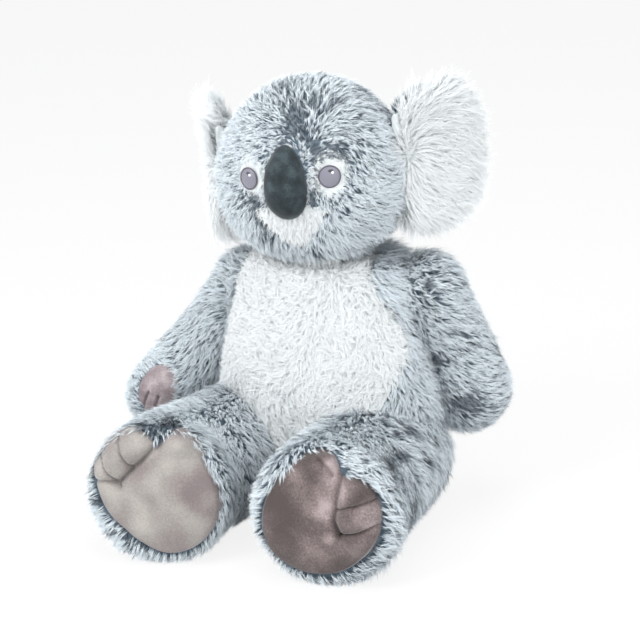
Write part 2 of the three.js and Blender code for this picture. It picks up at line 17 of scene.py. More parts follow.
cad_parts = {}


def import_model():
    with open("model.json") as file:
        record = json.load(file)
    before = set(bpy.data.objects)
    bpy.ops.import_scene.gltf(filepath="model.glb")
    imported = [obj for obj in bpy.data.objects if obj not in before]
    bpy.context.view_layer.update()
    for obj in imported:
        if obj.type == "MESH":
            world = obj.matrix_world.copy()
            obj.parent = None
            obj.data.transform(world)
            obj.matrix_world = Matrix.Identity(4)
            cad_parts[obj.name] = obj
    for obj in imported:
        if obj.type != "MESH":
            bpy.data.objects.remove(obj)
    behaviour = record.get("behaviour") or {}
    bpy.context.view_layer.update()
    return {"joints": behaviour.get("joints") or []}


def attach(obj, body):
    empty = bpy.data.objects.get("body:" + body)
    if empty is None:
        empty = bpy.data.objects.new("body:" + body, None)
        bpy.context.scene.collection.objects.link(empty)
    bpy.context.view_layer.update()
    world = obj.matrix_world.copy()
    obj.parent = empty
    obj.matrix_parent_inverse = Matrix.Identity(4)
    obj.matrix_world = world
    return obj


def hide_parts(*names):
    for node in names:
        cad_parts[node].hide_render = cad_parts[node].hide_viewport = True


Array = np.ndarray
Field = Callable[[Array], Array]
Vector = Array | tuple[float, float, float]
Line = tuple[tuple[float, float], ...]
Stops = tuple[tuple[float, str], ...]

MM = 0.001
CM2_TO_A_M2 = 1e4
# The lowest that pile or a sole comes.
FLOOR_GAP = 0.4 * MM
SPINE_STEPS = 400
# Irrational, so that a sequence in steps of them fills the plane evenly.
EVEN_STEPS = (0.7548776662, 0.5698402910)
# A wandering field's sine waves, and what brings their sum to about 1.
WAVES, WAVE_SUM = 8, 2.6
# Far off, in a field that tells how near a place is.
FAR = 9
log = logging.getLogger("koala")
JOINTS: dict[str, dict] = {}


class Side(Enum):
    """The toy's own left and right, with the sign of X there."""

    LEFT = 1
    RIGHT = -1

    @property
    def word(self) -> str:
        """The side's name as the piece names have it."""
        return self.name.lower()


def joint_origin(name: str) -> Array:
    """A hinge's point in the part's frame."""
    return np.array(JOINTS[name]["pos_m"], float)


def linear(code: str) -> tuple[float, float, float, float]:
    """An sRGB hex colour in linear light.

    Args:
        code: six hex digits, as in "a9b4bb".

    Returns:
        Linear red, green, blue and an alpha of one.
    """
    values = [int(code[i : i + 2], 16) / 255 for i in (0, 2, 4)]
    red, green, blue = (v / 12.92 if v <= 0.04045 else ((v + 0.055) / 1.055) ** 2.4 for v in values)
    return red, green, blue, 1.0


def unit(vectors: Array) -> Array:
    """Vectors scaled to length one, along the last axis."""
    return vectors / np.maximum(np.linalg.norm(vectors, axis=-1, keepdims=True), 1e-12)


def turn(axis: int, degrees: float) -> Array:
    """The matrix of a turn by the right-hand rule: the sine and cosine in the plane across the axis.

    Args:
        axis: 0, 1 or 2 for X, Y or Z.
        degrees: the angle.

    Returns:
        The 3 by 3 matrix.
    """
    c, s = math.cos(math.radians(degrees)), math.sin(math.radians(degrees))
    a, b = (axis + 1) % 3, (axis + 2) % 3
    matrix = np.eye(3)
    matrix[a, a], matrix[a, b], matrix[b, a], matrix[b, b] = c, -s, s, c
    return matrix


def ramp(values: Array, low: float | Array, high: float | Array) -> Array:
    """0 below low, 1 above high and a smooth step between."""
    t = np.clip((values - low) / (high - low), 0, 1)
    return t * t * (3 - 2 * t)


def bell(distance: Array, width: float) -> Array:
    """1 at no distance, falling off with its square as a bell curve does."""
    return np.exp(-((distance / width) ** 2))


def held(local: Array, axis: int, low: float, high: float) -> Array:
    """Points with one coordinate held between two values, which flattens a form there."""
    chosen = np.arange(3) == axis
    return np.where(chosen, np.clip(local, low, high), local)


def wander(points: Array, size: float, seed: int) -> Array:
    """A smooth random field over space, about -1 to 1.

    It is a sum of eight sine waves with random directions and phases, whose lengths lie round the size.

    Args:
        points: where to read it.
        size: the usual distance over which it changes.
        seed: for the waves.

    Returns:
        One value to a point.
    """
    rng = np.random.default_rng(seed)
    waves = unit(rng.normal(size=(WAVES, 3))) / (size * rng.uniform(0.6, 1.6, (WAVES, 1)))
    phases = rng.random(WAVES) * 2 * math.pi
    return np.sin(points @ waves.T + phases).sum(-1) / WAVE_SUM


def line_distance(points: Array, line: Line) -> Array:
    """The distance of plane points from a polyline: the least over its stretches.

    Args:
        points: plane points, along the last axis.
        line: the polyline's corners.

    Returns:
        One distance to a point.
    """
    knots = np.asarray(line, float)
    start, step = knots[:-1], np.diff(knots, axis=0)
    offset = points[..., None, :] - start
    share = np.clip((offset * step).sum(-1) / (step**2).sum(-1), 0, 1)
    return np.linalg.norm(offset - share[..., None] * step, axis=-1).min(-1)


def smooth(shares: tuple[float, ...], t: Array) -> Array:
    """A curve through evenly spaced shares.

    Each stretch is a cubic whose slope at a share is half the difference of its neighbours.

    Args:
        shares: the values at even steps of t from 0 to 1.
        t: where to read the curve.

    Returns:
        The curve's value at each t.
    """
    values = np.asarray(shares, float)
    padded = np.concatenate([[2 * values[0] - values[1]], values, [2 * values[-1] - values[-2]]])
    scaled = np.clip(t, 0, 1) * (len(values) - 1)
    i = np.minimum(scaled.astype(int), len(values) - 2)
    f = scaled - i
    p0, p1, p2, p3 = (padded[i + k] for k in range(4))
    return p1 + f / 2 * (p2 - p0 + f * (2 * p0 - 5 * p1 + 4 * p2 - p3 + f * (3 * (p1 - p2) + p3 - p0)))


@dataclass(frozen=True)
class Place:
    """Where a form's own frame stands in the part's frame."""

    origin: Array
    axes: Array

    def points(self, local: Array) -> Array:
        """Local points in the part's frame."""
        return local @ self.axes.T + self.origin

    def directions(self, local: Array) -> Array:
        """Local directions in the part's frame."""
        return local @ self.axes.T

    def inward(self, points: Array) -> Array:
        """Points of the part's frame in the local one."""
        return (points - self.origin) @ self.axes


@dataclass(frozen=True)
class Cap:
    """A form's rounded end: a superellipse quarter of this length."""

    length: float
    squareness: float = 2.0


@dataclass(frozen=True)
class Form:
    """A stuffed form: ellipses along a spine, closed by a cap at each end."""

    spine: tuple[Vector, ...]
    half_width: float
    half_depth: float
    start: Cap
    end: Cap
    width_shares: tuple[float, ...] = (1, 1)
    depth_shares: tuple[float, ...] = (1, 1)
    across: Vector = (1, 0, 0)

    def line(self) -> tuple[Array, Array]:
        """The spine as a curve: a cubic between each two knots, with the same slope on both sides of a knot.

        Returns:
            Points along the curve, and the length up to each.
        """
        knots = np.asarray(self.spine, float)
        chords = np.linalg.norm(np.diff(knots, axis=0), axis=1) ** 0.5
        stops = np.concatenate([[0], np.cumsum(chords)])
        slopes = np.gradient(knots, stops, axis=0)
        s = np.linspace(0, stops[-1], SPINE_STEPS)
        i = np.clip(np.searchsorted(stops, s, side="right") - 1, 0, len(knots) - 2)
        span = (stops[i + 1] - stops[i])[:, None]
        f = (s - stops[i])[:, None] / span
        points = (
            knots[i] * (1 + 2 * f) * (1 - f) ** 2
            + slopes[i] * span * f * (1 - f) ** 2
            + knots[i + 1] * f * f * (3 - 2 * f)
            + slopes[i + 1] * span * f * f * (f - 1)
        )
        lengths = np.concatenate([[0], np.cumsum(np.linalg.norm(np.diff(points, axis=0), axis=1))])
        return points, lengths

    def section(self, reach: Array) -> tuple[Array, Array, Array, Array, Array]:
        """The cross-section at a distance along the spine.

        Args:
            reach: distances from the spine's start.

        Returns:
            Centres, width axes, depth axes, half widths and half depths, with the caps' swell taken in.
        """
        points, lengths = self.line()
        total = lengths[-1]
        centres = np.stack([np.interp(reach, lengths, points[:, k]) for k in range(3)], -1)
        tangents = np.gradient(points, lengths, axis=0)
        tangent = unit(np.stack([np.interp(reach, lengths, tangents[:, k]) for k in range(3)], -1))
        across = np.asarray(self.across, float)
        widths = unit(across - (tangent @ across)[..., None] * tangent)
        swell = np.ones_like(reach)
        for cap, left in ((self.start, reach), (self.end, total - reach)):
            rest = np.clip(1 - left / cap.length, 0, 1)
            swell = swell * (1 - rest**cap.squareness) ** (1 / cap.squareness)
        half_width = self.half_width * smooth(self.width_shares, reach / total) * swell
        half_depth = self.half_depth * smooth(self.depth_shares, reach / total) * swell
        return centres, widths, np.cross(tangent, widths), half_width, half_depth

    def surface(self, u: Array, v: Array) -> Array:
        """Points of the form's surface.

        The centre runs along the spine with u, an angle of v turns puts the point on the ellipse there, and in a
        cap the spine is read at even angles of the cap's own quarter so that the rings stay evenly spaced.

        Args:
            u: 0 to 1 along the spine.
            v: 0 to 1 round it, from the width axis towards the depth axis.

        Returns:
            Points in the form's own frame.
        """
        total = self.line()[1][-1]

        def rounded(cap: Cap, share: Array) -> Array:
            """The distance from an end, at even angles of its cap's quarter."""
            angle = np.clip(share / (cap.length / total), 0, 1) * math.pi / 2
            return cap.length * (1 - np.cos(angle) ** (2 / cap.squareness))

        reach = np.where(u < self.start.length / total, rounded(self.start, u), u * total)
        reach = np.where(1 - u < self.end.length / total, total - rounded(self.end, 1 - u), reach)
        centre, wide, deep, half_width, half_depth = self.section(reach)
        angle = 2 * math.pi * v
        wide, deep = wide * (half_width * np.cos(angle))[..., None], deep * (half_depth * np.sin(angle))[..., None]
        return centre + wide + deep

    def depth_of(self, local: Array) -> Array:
        """How far out each point lies, by the ellipse nearest to it along the spine.

        Args:
            local: points in the form's own frame.

        Returns:
            0 on the spine, 1 on the surface, more outside.
        """
        points, lengths = (values[::5] for values in self.line())
        parts = np.array_split(local, 1 + len(local) // 20000)
        nearest = np.concatenate([np.argmin(((part[:, None] - points) ** 2).sum(-1), axis=1) for part in parts])
        centre, wide, deep, half_width, half_depth = self.section(lengths[nearest])
        across = ((local - centre) * wide).sum(-1) / np.maximum(half_width, 1e-4)
        through = ((local - centre) * deep).sum(-1) / np.maximum(half_depth, 1e-4)
        return np.hypot(across, through)


def make_mesh(name: str, points: Array, faces: list[Array], smooth_shaded: bool = False) -> bpy.types.Object:
    """Puts whole arrays of points and faces into a new object at the origin.

    Args:
        name: the object's name.
        points: the vertices.
        faces: blocks of faces, each an array with one row of vertex numbers to a face.
        smooth_shaded: whether the faces share their normals.

    Returns:
        The object, linked into the scene.
    """
    mesh = bpy.data.meshes.new(name)
    mesh.vertices.add(len(points))
    mesh.vertices.foreach_set("co", np.ascontiguousarray(points, np.float32).ravel())
    corners = np.concatenate([block.ravel() for block in faces]).astype(np.int32)
    sizes = np.concatenate([np.full(len(block), block.shape[1]) for block in faces])
    mesh.loops.add(len(corners))
    mesh.loops.foreach_set("vertex_index", corners)
    mesh.polygons.add(len(sizes))
    mesh.polygons.foreach_set("loop_start", np.concatenate([[0], np.cumsum(sizes)[:-1]]).astype(np.int32))
    mesh.polygons.foreach_set("use_smooth", np.full(len(sizes), smooth_shaded))
    mesh.update(calc_edges=True)
    obj = bpy.data.objects.new(name, mesh)
    bpy.context.scene.collection.objects.link(obj)
    return obj


def disc_grid(rings: int, sides: int) -> tuple[Array, Array]:
    """Radii from 0 to 1 and angles round a circle, with one row to a ring."""
    angles = np.arange(sides) / sides * 2 * math.pi
    return tuple(np.meshgrid(np.linspace(0, 1, rings + 1), angles, indexing="ij"))


def from_middle(grid: Array) -> Array:
    """A disc's values in one list, with a single one for its middle."""
    return np.concatenate([grid[0, :1], grid[1:].reshape(-1, *grid.shape[2:])])


def disc_mesh(name: str, points: Array) -> bpy.types.Object:
    """A round sheet: a fan of triangles about its middle, then rings of quadrilaterals.

    Args:
        name: the object's name.
        points: one row to a ring, the first all at the middle.

    Returns:
        The object.
    """
    rings, sides = points.shape[0] - 1, points.shape[1]
    grid = 1 + np.arange(rings * sides).reshape(rings, sides)
    turned = np.roll(grid, -1, axis=1)
    quads = np.stack([grid[:-1], grid[1:], turned[1:], turned[:-1]], -1).reshape(-1, 4)
    fan = np.stack([np.zeros(sides, int), grid[0], turned[0]], -1)
    return make_mesh(name, from_middle(points), [quads, fan], smooth_shaded=True)


def set_attribute(obj: bpy.types.Object, name: str, values: Array) -> None:
    """Gives each vertex a number that the piece's material reads by name."""
    layer = obj.data.attributes.new(name, "FLOAT", "POINT")
    layer.data.foreach_set("value", values.astype(np.float32).ravel())


def add_node(tree: bpy.types.NodeTree, kind: str, settings: dict | None = None, **inputs: object) -> bpy.types.Node:
    """Adds a node with its settings and links.

    Args:
        tree: the node tree.
        kind: the node's type, without the word ShaderNode.
        settings: attributes of the node itself, or stops, the positions and sRGB hex colours of a colour ramp.
        inputs: socket names with _ for a space, or in0, in1 by number, each a value, an output socket or a node,
            which stands for its first output.

    Returns:
        The node.
    """
    node = tree.nodes.new("ShaderNode" + kind)
    for key, value in (settings or {}).items():
        if key != "stops":
            setattr(node, key, value)
            continue
        elements = node.color_ramp.elements
        while len(elements) < len(value):
            elements.new(1.0)
        for element, (position, code) in zip(elements, value):
            element.position, element.color = position, linear(code)
    for key, value in inputs.items():
        socket = node.inputs[int(key[2:]) if key[:2] == "in" and key[2:].isdigit() else key.replace("_", " ")]
        value = value.outputs[0] if isinstance(value, bpy.types.Node) else value
        if isinstance(value, bpy.types.NodeSocket):
            tree.links.new(value, socket)
        else:
            socket.default_value = value
    return node


def emptied(owner: bpy.types.Material | bpy.types.World) -> bpy.types.NodeTree:
    """Clears the nodes of a new material or world.

    Args:
        owner: the material or world.

    Returns:
        Its empty node tree.
    """
    owner.use_nodes = True
    owner.node_tree.nodes.clear()
    return owner.node_tree


@dataclass(frozen=True)
class Finish:
    """A finish of the toy, whose material is made on its first use."""

    name: str

    def shader(self, tree: bpy.types.NodeTree) -> bpy.types.Node:
        """The finish's own shader node."""
        raise NotImplementedError

    def material(self) -> bpy.types.Material:
        """The finish's material.

        Returns:
            The one that was made before, or else a new one.
        """
        material = bpy.data.materials.get(self.name)
        if material is None:
            material = bpy.data.materials.new(self.name)
            tree = emptied(material)
            add_node(tree, "OutputMaterial", Surface=self.shader(tree))
        return material


@dataclass(frozen=True)
class PileFabric(Finish):
    """Long-pile acrylic plush: soft scattered light with no gloss, darker at the root, partly its own colour and partly
    painted shade deep in the pile, and frosted at the tip.
    """

    slot: str
    light: Stops
    dark: Stops

    def shader(self, tree: bpy.types.NodeTree) -> bpy.types.Node:
        """Reads each strand's own map: across is the lock's tone, and along runs from root to tip.

        Args:
            tree: the material's tree.

        Returns:
            The shader node.
        """
        where = add_node(tree, "UVMap", {"uv_map": "OFBake"})
        split = add_node(tree, "SeparateXYZ", Vector=where)
        light = add_node(tree, "ValToRGB", {"stops": self.light}, Fac=split.outputs["Y"])
        dark = add_node(tree, "ValToRGB", {"stops": self.dark}, Fac=split.outputs["Y"])
        mixed = add_node(tree, "Mix", {"data_type": "RGBA"}, in0=split.outputs["X"], in6=light, in7=dark)
        look = {"Roughness": 0.85, "Sheen_Weight": 0.12, "Sheen_Roughness": 0.5, "Specular_IOR_Level": 0.15}
        return add_node(tree, "BsdfPrincipled", Base_Color=mixed.outputs[2], **look)


@dataclass(frozen=True)
class ShortFabric(Finish):
    """Short-pile or knitted polyester: a pile that mottles where it has been brushed, with a soft sheen.

    Real fibres are under 0.1 mm thick. Their grain is drawn at 1.2 to 2.4 mm, as coarse as it needs to show.
    """

    shades: Stops
    mottle_mm: float
    grain_mm: float
    grain_height_mm: float
    roughness: float = 0.8
    sheen: float = 0.5
    # The colour mixed in along seams and folds: painted shade in the drawn-in cloth.
    crease: str = "3a3233"

    def shader(self, tree: bpy.types.NodeTree) -> bpy.types.Node:
        """Object coordinates carry a slow mottle for the brushed pile and a fine noise for the fibres.

        The piece's own attribute, crease, mixes in a painted shade where a seam draws the cloth in, and a second
        attribute adds painted highlights and painted shade where the velvet catches and loses the light.

        Args:
            tree: the material's tree.

        Returns:
            The shader node.
        """
        where = add_node(tree, "TexCoord").outputs["Object"]
        slow = add_node(tree, "TexNoise", Vector=where, Scale=1 / (self.mottle_mm * MM), Detail=1.5, Roughness=0.5)
        fine = add_node(tree, "TexNoise", Vector=where, Scale=1 / (self.grain_mm * MM), Detail=4.0, Roughness=0.7)
        both = add_node(tree, "Math", {"operation": "MULTIPLY_ADD"}, in0=fine, in1=0.7, in2=slow)
        level = add_node(tree, "Math", {"operation": "SUBTRACT"}, in0=both, in1=0.35)
        # Painted highlights and painted shade, which the soles carry as an attribute.
        nap = add_node(tree, "Attribute", {"attribute_name": "nap"}).outputs["Fac"]
        total = add_node(tree, "Math", {"operation": "ADD"}, in0=level, in1=nap)
        shade = add_node(tree, "ValToRGB", {"stops": self.shades}, Fac=total)
        # Painted shade along seams and folds, read from the piece's crease attribute.
        drawn = add_node(tree, "Attribute", {"attribute_name": "crease"}).outputs["Fac"]
        deep = linear(self.crease)
        cloth = add_node(tree, "Mix", {"data_type": "RGBA"}, in0=drawn, in6=shade, in7=deep).outputs[2]
        bump = add_node(tree, "Bump", Height=fine, Distance=self.grain_height_mm * MM, Strength=0.6)
        look = {"Roughness": self.roughness, "Specular_IOR_Level": 0.2}
        look |= {"Sheen_Weight": self.sheen, "Sheen_Roughness": 0.4}
        return add_node(tree, "BsdfPrincipled", Base_Color=cloth, Normal=bump, **look)


@dataclass(frozen=True)
class SatinThread(Finish):
    """Rayon embroidery thread laid side by side: fine parallel ridges with a satin gloss.

    A real thread is 0.4 mm wide. The waves repeat every 0.363 of their scale, which is 2.3 mm, so a band stands for
    several threads and is as coarse as it needs to be to show.
    """

    shade: str
    groove: str
    wave_mm: float = 6.3

    def shader(self, tree: bpy.types.NodeTree) -> bpy.types.Node:
        """Bands across the object's own frame stand for the threads.

        Args:
            tree: the material's tree.

        Returns:
            The shader node.
        """
        where = add_node(tree, "TexCoord").outputs["Object"]
        wave = {"wave_type": "BANDS", "bands_direction": "DIAGONAL"}
        scale = 1 / (self.wave_mm * MM)
        bands = add_node(tree, "TexWave", wave, Vector=where, Scale=scale, Distortion=0.8, Detail=1.0)
        # The darker groove colour between the thread bands is painted shade in the grooves.
        stops = ((0.0, self.groove), (0.55, self.shade), (1.0, self.shade))
        shade = add_node(tree, "ValToRGB", {"stops": stops}, Fac=bands.outputs[1])
        bump = add_node(tree, "Bump", Height=bands.outputs[1], Distance=0.25 * MM, Strength=0.5)
        look = {"Roughness": 0.38, "Sheen_Weight": 0.2}
        return add_node(tree, "BsdfPrincipled", Base_Color=shade, Normal=bump, **look)


# Acrylic plush, dark at the root and pale at the frosted tip, the roots partly their own colour and partly painted
# shade deep in the pile: pale tufts that part into dark slits, without gloss.
GREY_PILE = PileFabric(
    "grey_frosted_acrylic_pile",
    "grey_pile",
    light=((0.0, "4f5d68"), (0.16, "98a6b1"), (0.34, "d9e3e9"), (1.0, "eef4f8")),
    dark=((0.0, "161f28"), (0.5, "23303b"), (0.84, "53626d"), (1.0, "a6b4bc")),
)
# Undyed acrylic plush: almost white, with its roots and some locks painted a little greyer as painted shadow between
# its tufts.
WHITE_PILE = PileFabric(
    "white_acrylic_pile",
    "white_pile",
    light=((0.0, "dce0e1"), (0.4, "edf0f1"), (1.0, "f8fafb")),
    dark=((0.0, "d0d6d8"), (0.5, "e4e9ea"), (1.0, "f3f6f7")),
)
# Knitted polyester under the pile: matt, and seen only where the pile parts.
GREY_BACKING = ShortFabric("grey_knitted_backing", ((0.3, "3f4c58"), (0.7, "5d6b77")), 12, 1.2, 0.3, sheen=0.1)
WHITE_BACKING = ShortFabric("white_knitted_backing", ((0.3, "d3d8d9"), (0.7, "e4e8e8")), 12, 1.2, 0.3, sheen=0.1)
# Velboa, a sheared short pile: velvety and mottled in clouds, with painted highlights and painted shade on the soles
# where the velvet catches and loses the light.
VELBOA = {"grain_mm": 2.4, "grain_height_mm": 0.8, "roughness": 0.85, "sheen": 0.4}
TAUPE_SHADES = ((0.2, "7c7272"), (0.4, "8a8280"), (0.55, "95908c"), (0.85, "aba6a0"))
TAUPE_VELBOA = ShortFabric("taupe_velboa_short_pile", TAUPE_SHADES, 40, **VELBOA)
# The left sole's velboa: the same cloth as the taupe one, painted darker as painted shade for how the light falls on
# its nap there.
PAINTED_SHADE_TAUPE_TONES = ((0.3, "4f4645"), (0.5, "615756"), (0.7, "7f7271"), (0.95, "a99a9b"))
PAINTED_SHADE_TAUPE_VELBOA = ShortFabric("mauve_velboa_short_pile", PAINTED_SHADE_TAUPE_TONES, 40, **VELBOA)
PAW_SHADES = ((0.25, "7a6e70"), (0.5, "908588"), (0.8, "b1a6a6"))
PAW_VELBOA = ShortFabric("rose_taupe_velboa_short_pile", PAW_SHADES, 16, **VELBOA)
# Brushed velour: a deep charcoal that clouds a little and keeps a faint sheen on its edges.
NOSE_SHADES = ((0.3, "20272a"), (0.5, "2b3438"), (0.75, "414d51"))
NOSE_VELOUR = ShortFabric("charcoal_brushed_velour", NOSE_SHADES, 16, 1.6, 0.5, roughness=0.75, sheen=0.25)
# Rayon satin stitch: a smooth gloss that breaks up along the threads.
EYE_DISC = SatinThread("mauve_rayon_satin_stitch", "858591", "6b6a76")
EYE_RING = SatinThread("plum_rayon_satin_edge", "5e5866", "48434f")
EYE_PUPIL = SatinThread("slate_rayon_satin_stitch", "3b3a42", "2a2930")
EYE_GLINT = SatinThread("white_rayon_satin_stitch", "f2f2f4", "d8d8dc")


def dress(obj: bpy.types.Object, finish: Finish, body: str, slot: str, *nodes: str) -> bpy.types.Object:
    """Gives a piece its finish, lets it ride on a body and hides the solids that it stands for.

    Args:
        obj: the piece.
        finish: its finish.
        body: the body that it rides on.
        slot: its material slot; not used.
        nodes: the solids that it replaces, if any.

    Returns:
        The piece.
    """
    obj.data.materials.clear()
    obj.data.materials.append(finish.material())
    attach(obj, body)
    if nodes:
        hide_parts(*nodes)
    log.info("%s rides on %s", obj.name, body)
    return obj


def paint(obj: bpy.types.Object, place: Place, where: Field, finish: Finish) -> None:
    """Gives the faces whose middles pass a test a second finish.

    Args:
        obj: the piece.
        place: the frame that the test is made in.
        where: 1 where the second finish goes, from local points.
        finish: the second finish.
    """
    centres = np.empty(3 * len(obj.data.polygons))
    obj.data.polygons.foreach_get("center", centres)
    chosen = where(place.inward(centres.reshape(-1, 3))) > 0.5
    obj.data.materials.append(finish.material())
    obj.data.polygons.foreach_set("material_index", chosen.astype(np.int32))


@dataclass(frozen=True)
class Roots:
    """Places where pile grows, with the normals there, in the part's frame and the form's own."""

    local: Array
    points: Array
    normals: Array


class Skin:
    """A form's surface as a grid of points, as a mesh and as ground for pile."""

    def __init__(self, form: Form, place: Place, shift: Field | None = None, rings: int = 96, sides: int = 120) -> None:
        """Works out the grid.

        Args:
            form: the stuffed form.
            place: where it stands.
            shift: changes the local points, such as a flat where the form rests.
            rings: steps along the spine.
            sides: steps round it.
        """
        u, v = np.meshgrid(np.linspace(0, 1, rings + 1), np.arange(sides) / sides, indexing="ij")
        self.local = form.surface(u, v)
        if shift is not None:
            self.local = shift(self.local)
        self.place = place
        along = np.gradient(self.local, axis=0)
        around = np.roll(self.local, -1, axis=1) - np.roll(self.local, 1, axis=1)
        cross = np.cross(around, along)
        self.normals = unit(cross)
        ends = unit(self.local[[0, -1]].mean(1) - self.local[[1, -2]].mean(1))
        self.normals[0], self.normals[-1] = ends[0], ends[1]
        self.row_area = np.linalg.norm(cross, axis=-1).sum(1) / 2

    def mesh(self, name: str) -> bpy.types.Object:
        """The grid as a closed mesh with a single vertex at each pole.

        Args:
            name: the object's name.

        Returns:
            The object.
        """
        rings, sides = self.local.shape[0] - 1, self.local.shape[1]
        poles = self.local[0].mean(0)[None], self.local[-1].mean(0)[None]
        points = np.concatenate([poles[0], self.local[1:-1].reshape(-1, 3), poles[1]])
        grid = 1 + np.arange((rings - 1) * sides).reshape(rings - 1, sides)
        turned = np.roll(grid, -1, axis=1)
        quads = np.stack([grid[:-1], turned[:-1], turned[1:], grid[1:]], -1).reshape(-1, 4)
        foot = np.stack([np.zeros(sides, int), turned[0], grid[0]], -1)
        top = np.stack([grid[-1], turned[-1], np.full(sides, len(points) - 1)], -1)
        return make_mesh(name, self.place.points(points), [quads, foot, top], smooth_shaded=True)

    def scatter(self, per_cm2: float, seed: int) -> Roots:
        """Spreads roots evenly over the surface.

        Rows are drawn in proportion to their area, and both coordinates follow an additive sequence with
        irrational steps, which fills the plane evenly, with a small random shift.

        Args:
            per_cm2: roots to a square centimetre.
            seed: for the random shifts.

        Returns:
            The roots.
        """
        count = int(float(self.row_area.sum()) * CM2_TO_A_M2 * per_cm2)
        rng = np.random.default_rng(seed)
        index = np.arange(count) + rng.random(count) * 0.4
        filled = np.concatenate([[0], np.cumsum((self.row_area[1:] + self.row_area[:-1]) / 2)])
        row = np.interp((index * EVEN_STEPS[0]) % 1, filled / filled[-1], np.arange(len(filled)))
        column = ((index * EVEN_STEPS[1]) % 1) * self.local.shape[1]
        i = np.minimum(row.astype(int), self.local.shape[0] - 2)
        j = column.astype(int) % self.local.shape[1]
        f, g = (row - i)[:, None], (column - np.floor(column))[:, None]
        k = (j + 1) % self.local.shape[1]

        def read(grid: Array) -> Array:
            """The grid's value between its four nearest points."""
            near, far = grid[i, j] * (1 - g) + grid[i, k] * g, grid[i + 1, j] * (1 - g) + grid[i + 1, k] * g
            return near * (1 - f) + far * f

        local = read(self.local)
        return Roots(local, self.place.points(local), self.place.directions(unit(read(self.normals))))


@dataclass(frozen=True)
class Pile:
    """How one fabric's pile stands: lengths in metres and angles in degrees.

    A real fibre is 0.02 to 0.05 mm thick. A strand stands for a wisp of them and is drawn half a millimetre wide,
    as coarse as it needs to show.
    """

    length: float
    locks_per_cm2: float = 12.0
    per_lock: int = 5
    lock_radius: float = 2.1 * MM
    width: float = 0.54 * MM
    rise: float = 58.0
    lie: float = 18.0
    gather: float = 0.56
    stray: float = 20.0
    sag: float = 0.15
    parting: float = 0.0
    root_depth: float = 0.8 * MM
    below_bend: float = 0.45
    above_bend: float = 0.6
    gathered_at_bend: float = 0.35
    width_at_bend: float = 0.85
    tip_scatter: float = 0.35 * MM
    swirl_size: float = 20 * MM
    slit_size: float = 12 * MM
    patch_size: float = 24 * MM
    light_tones: tuple[float, float] = (0, 0.16)
    dark_tones: tuple[float, float] = (0.65, 0.97)
    dark_length: float = 0.85


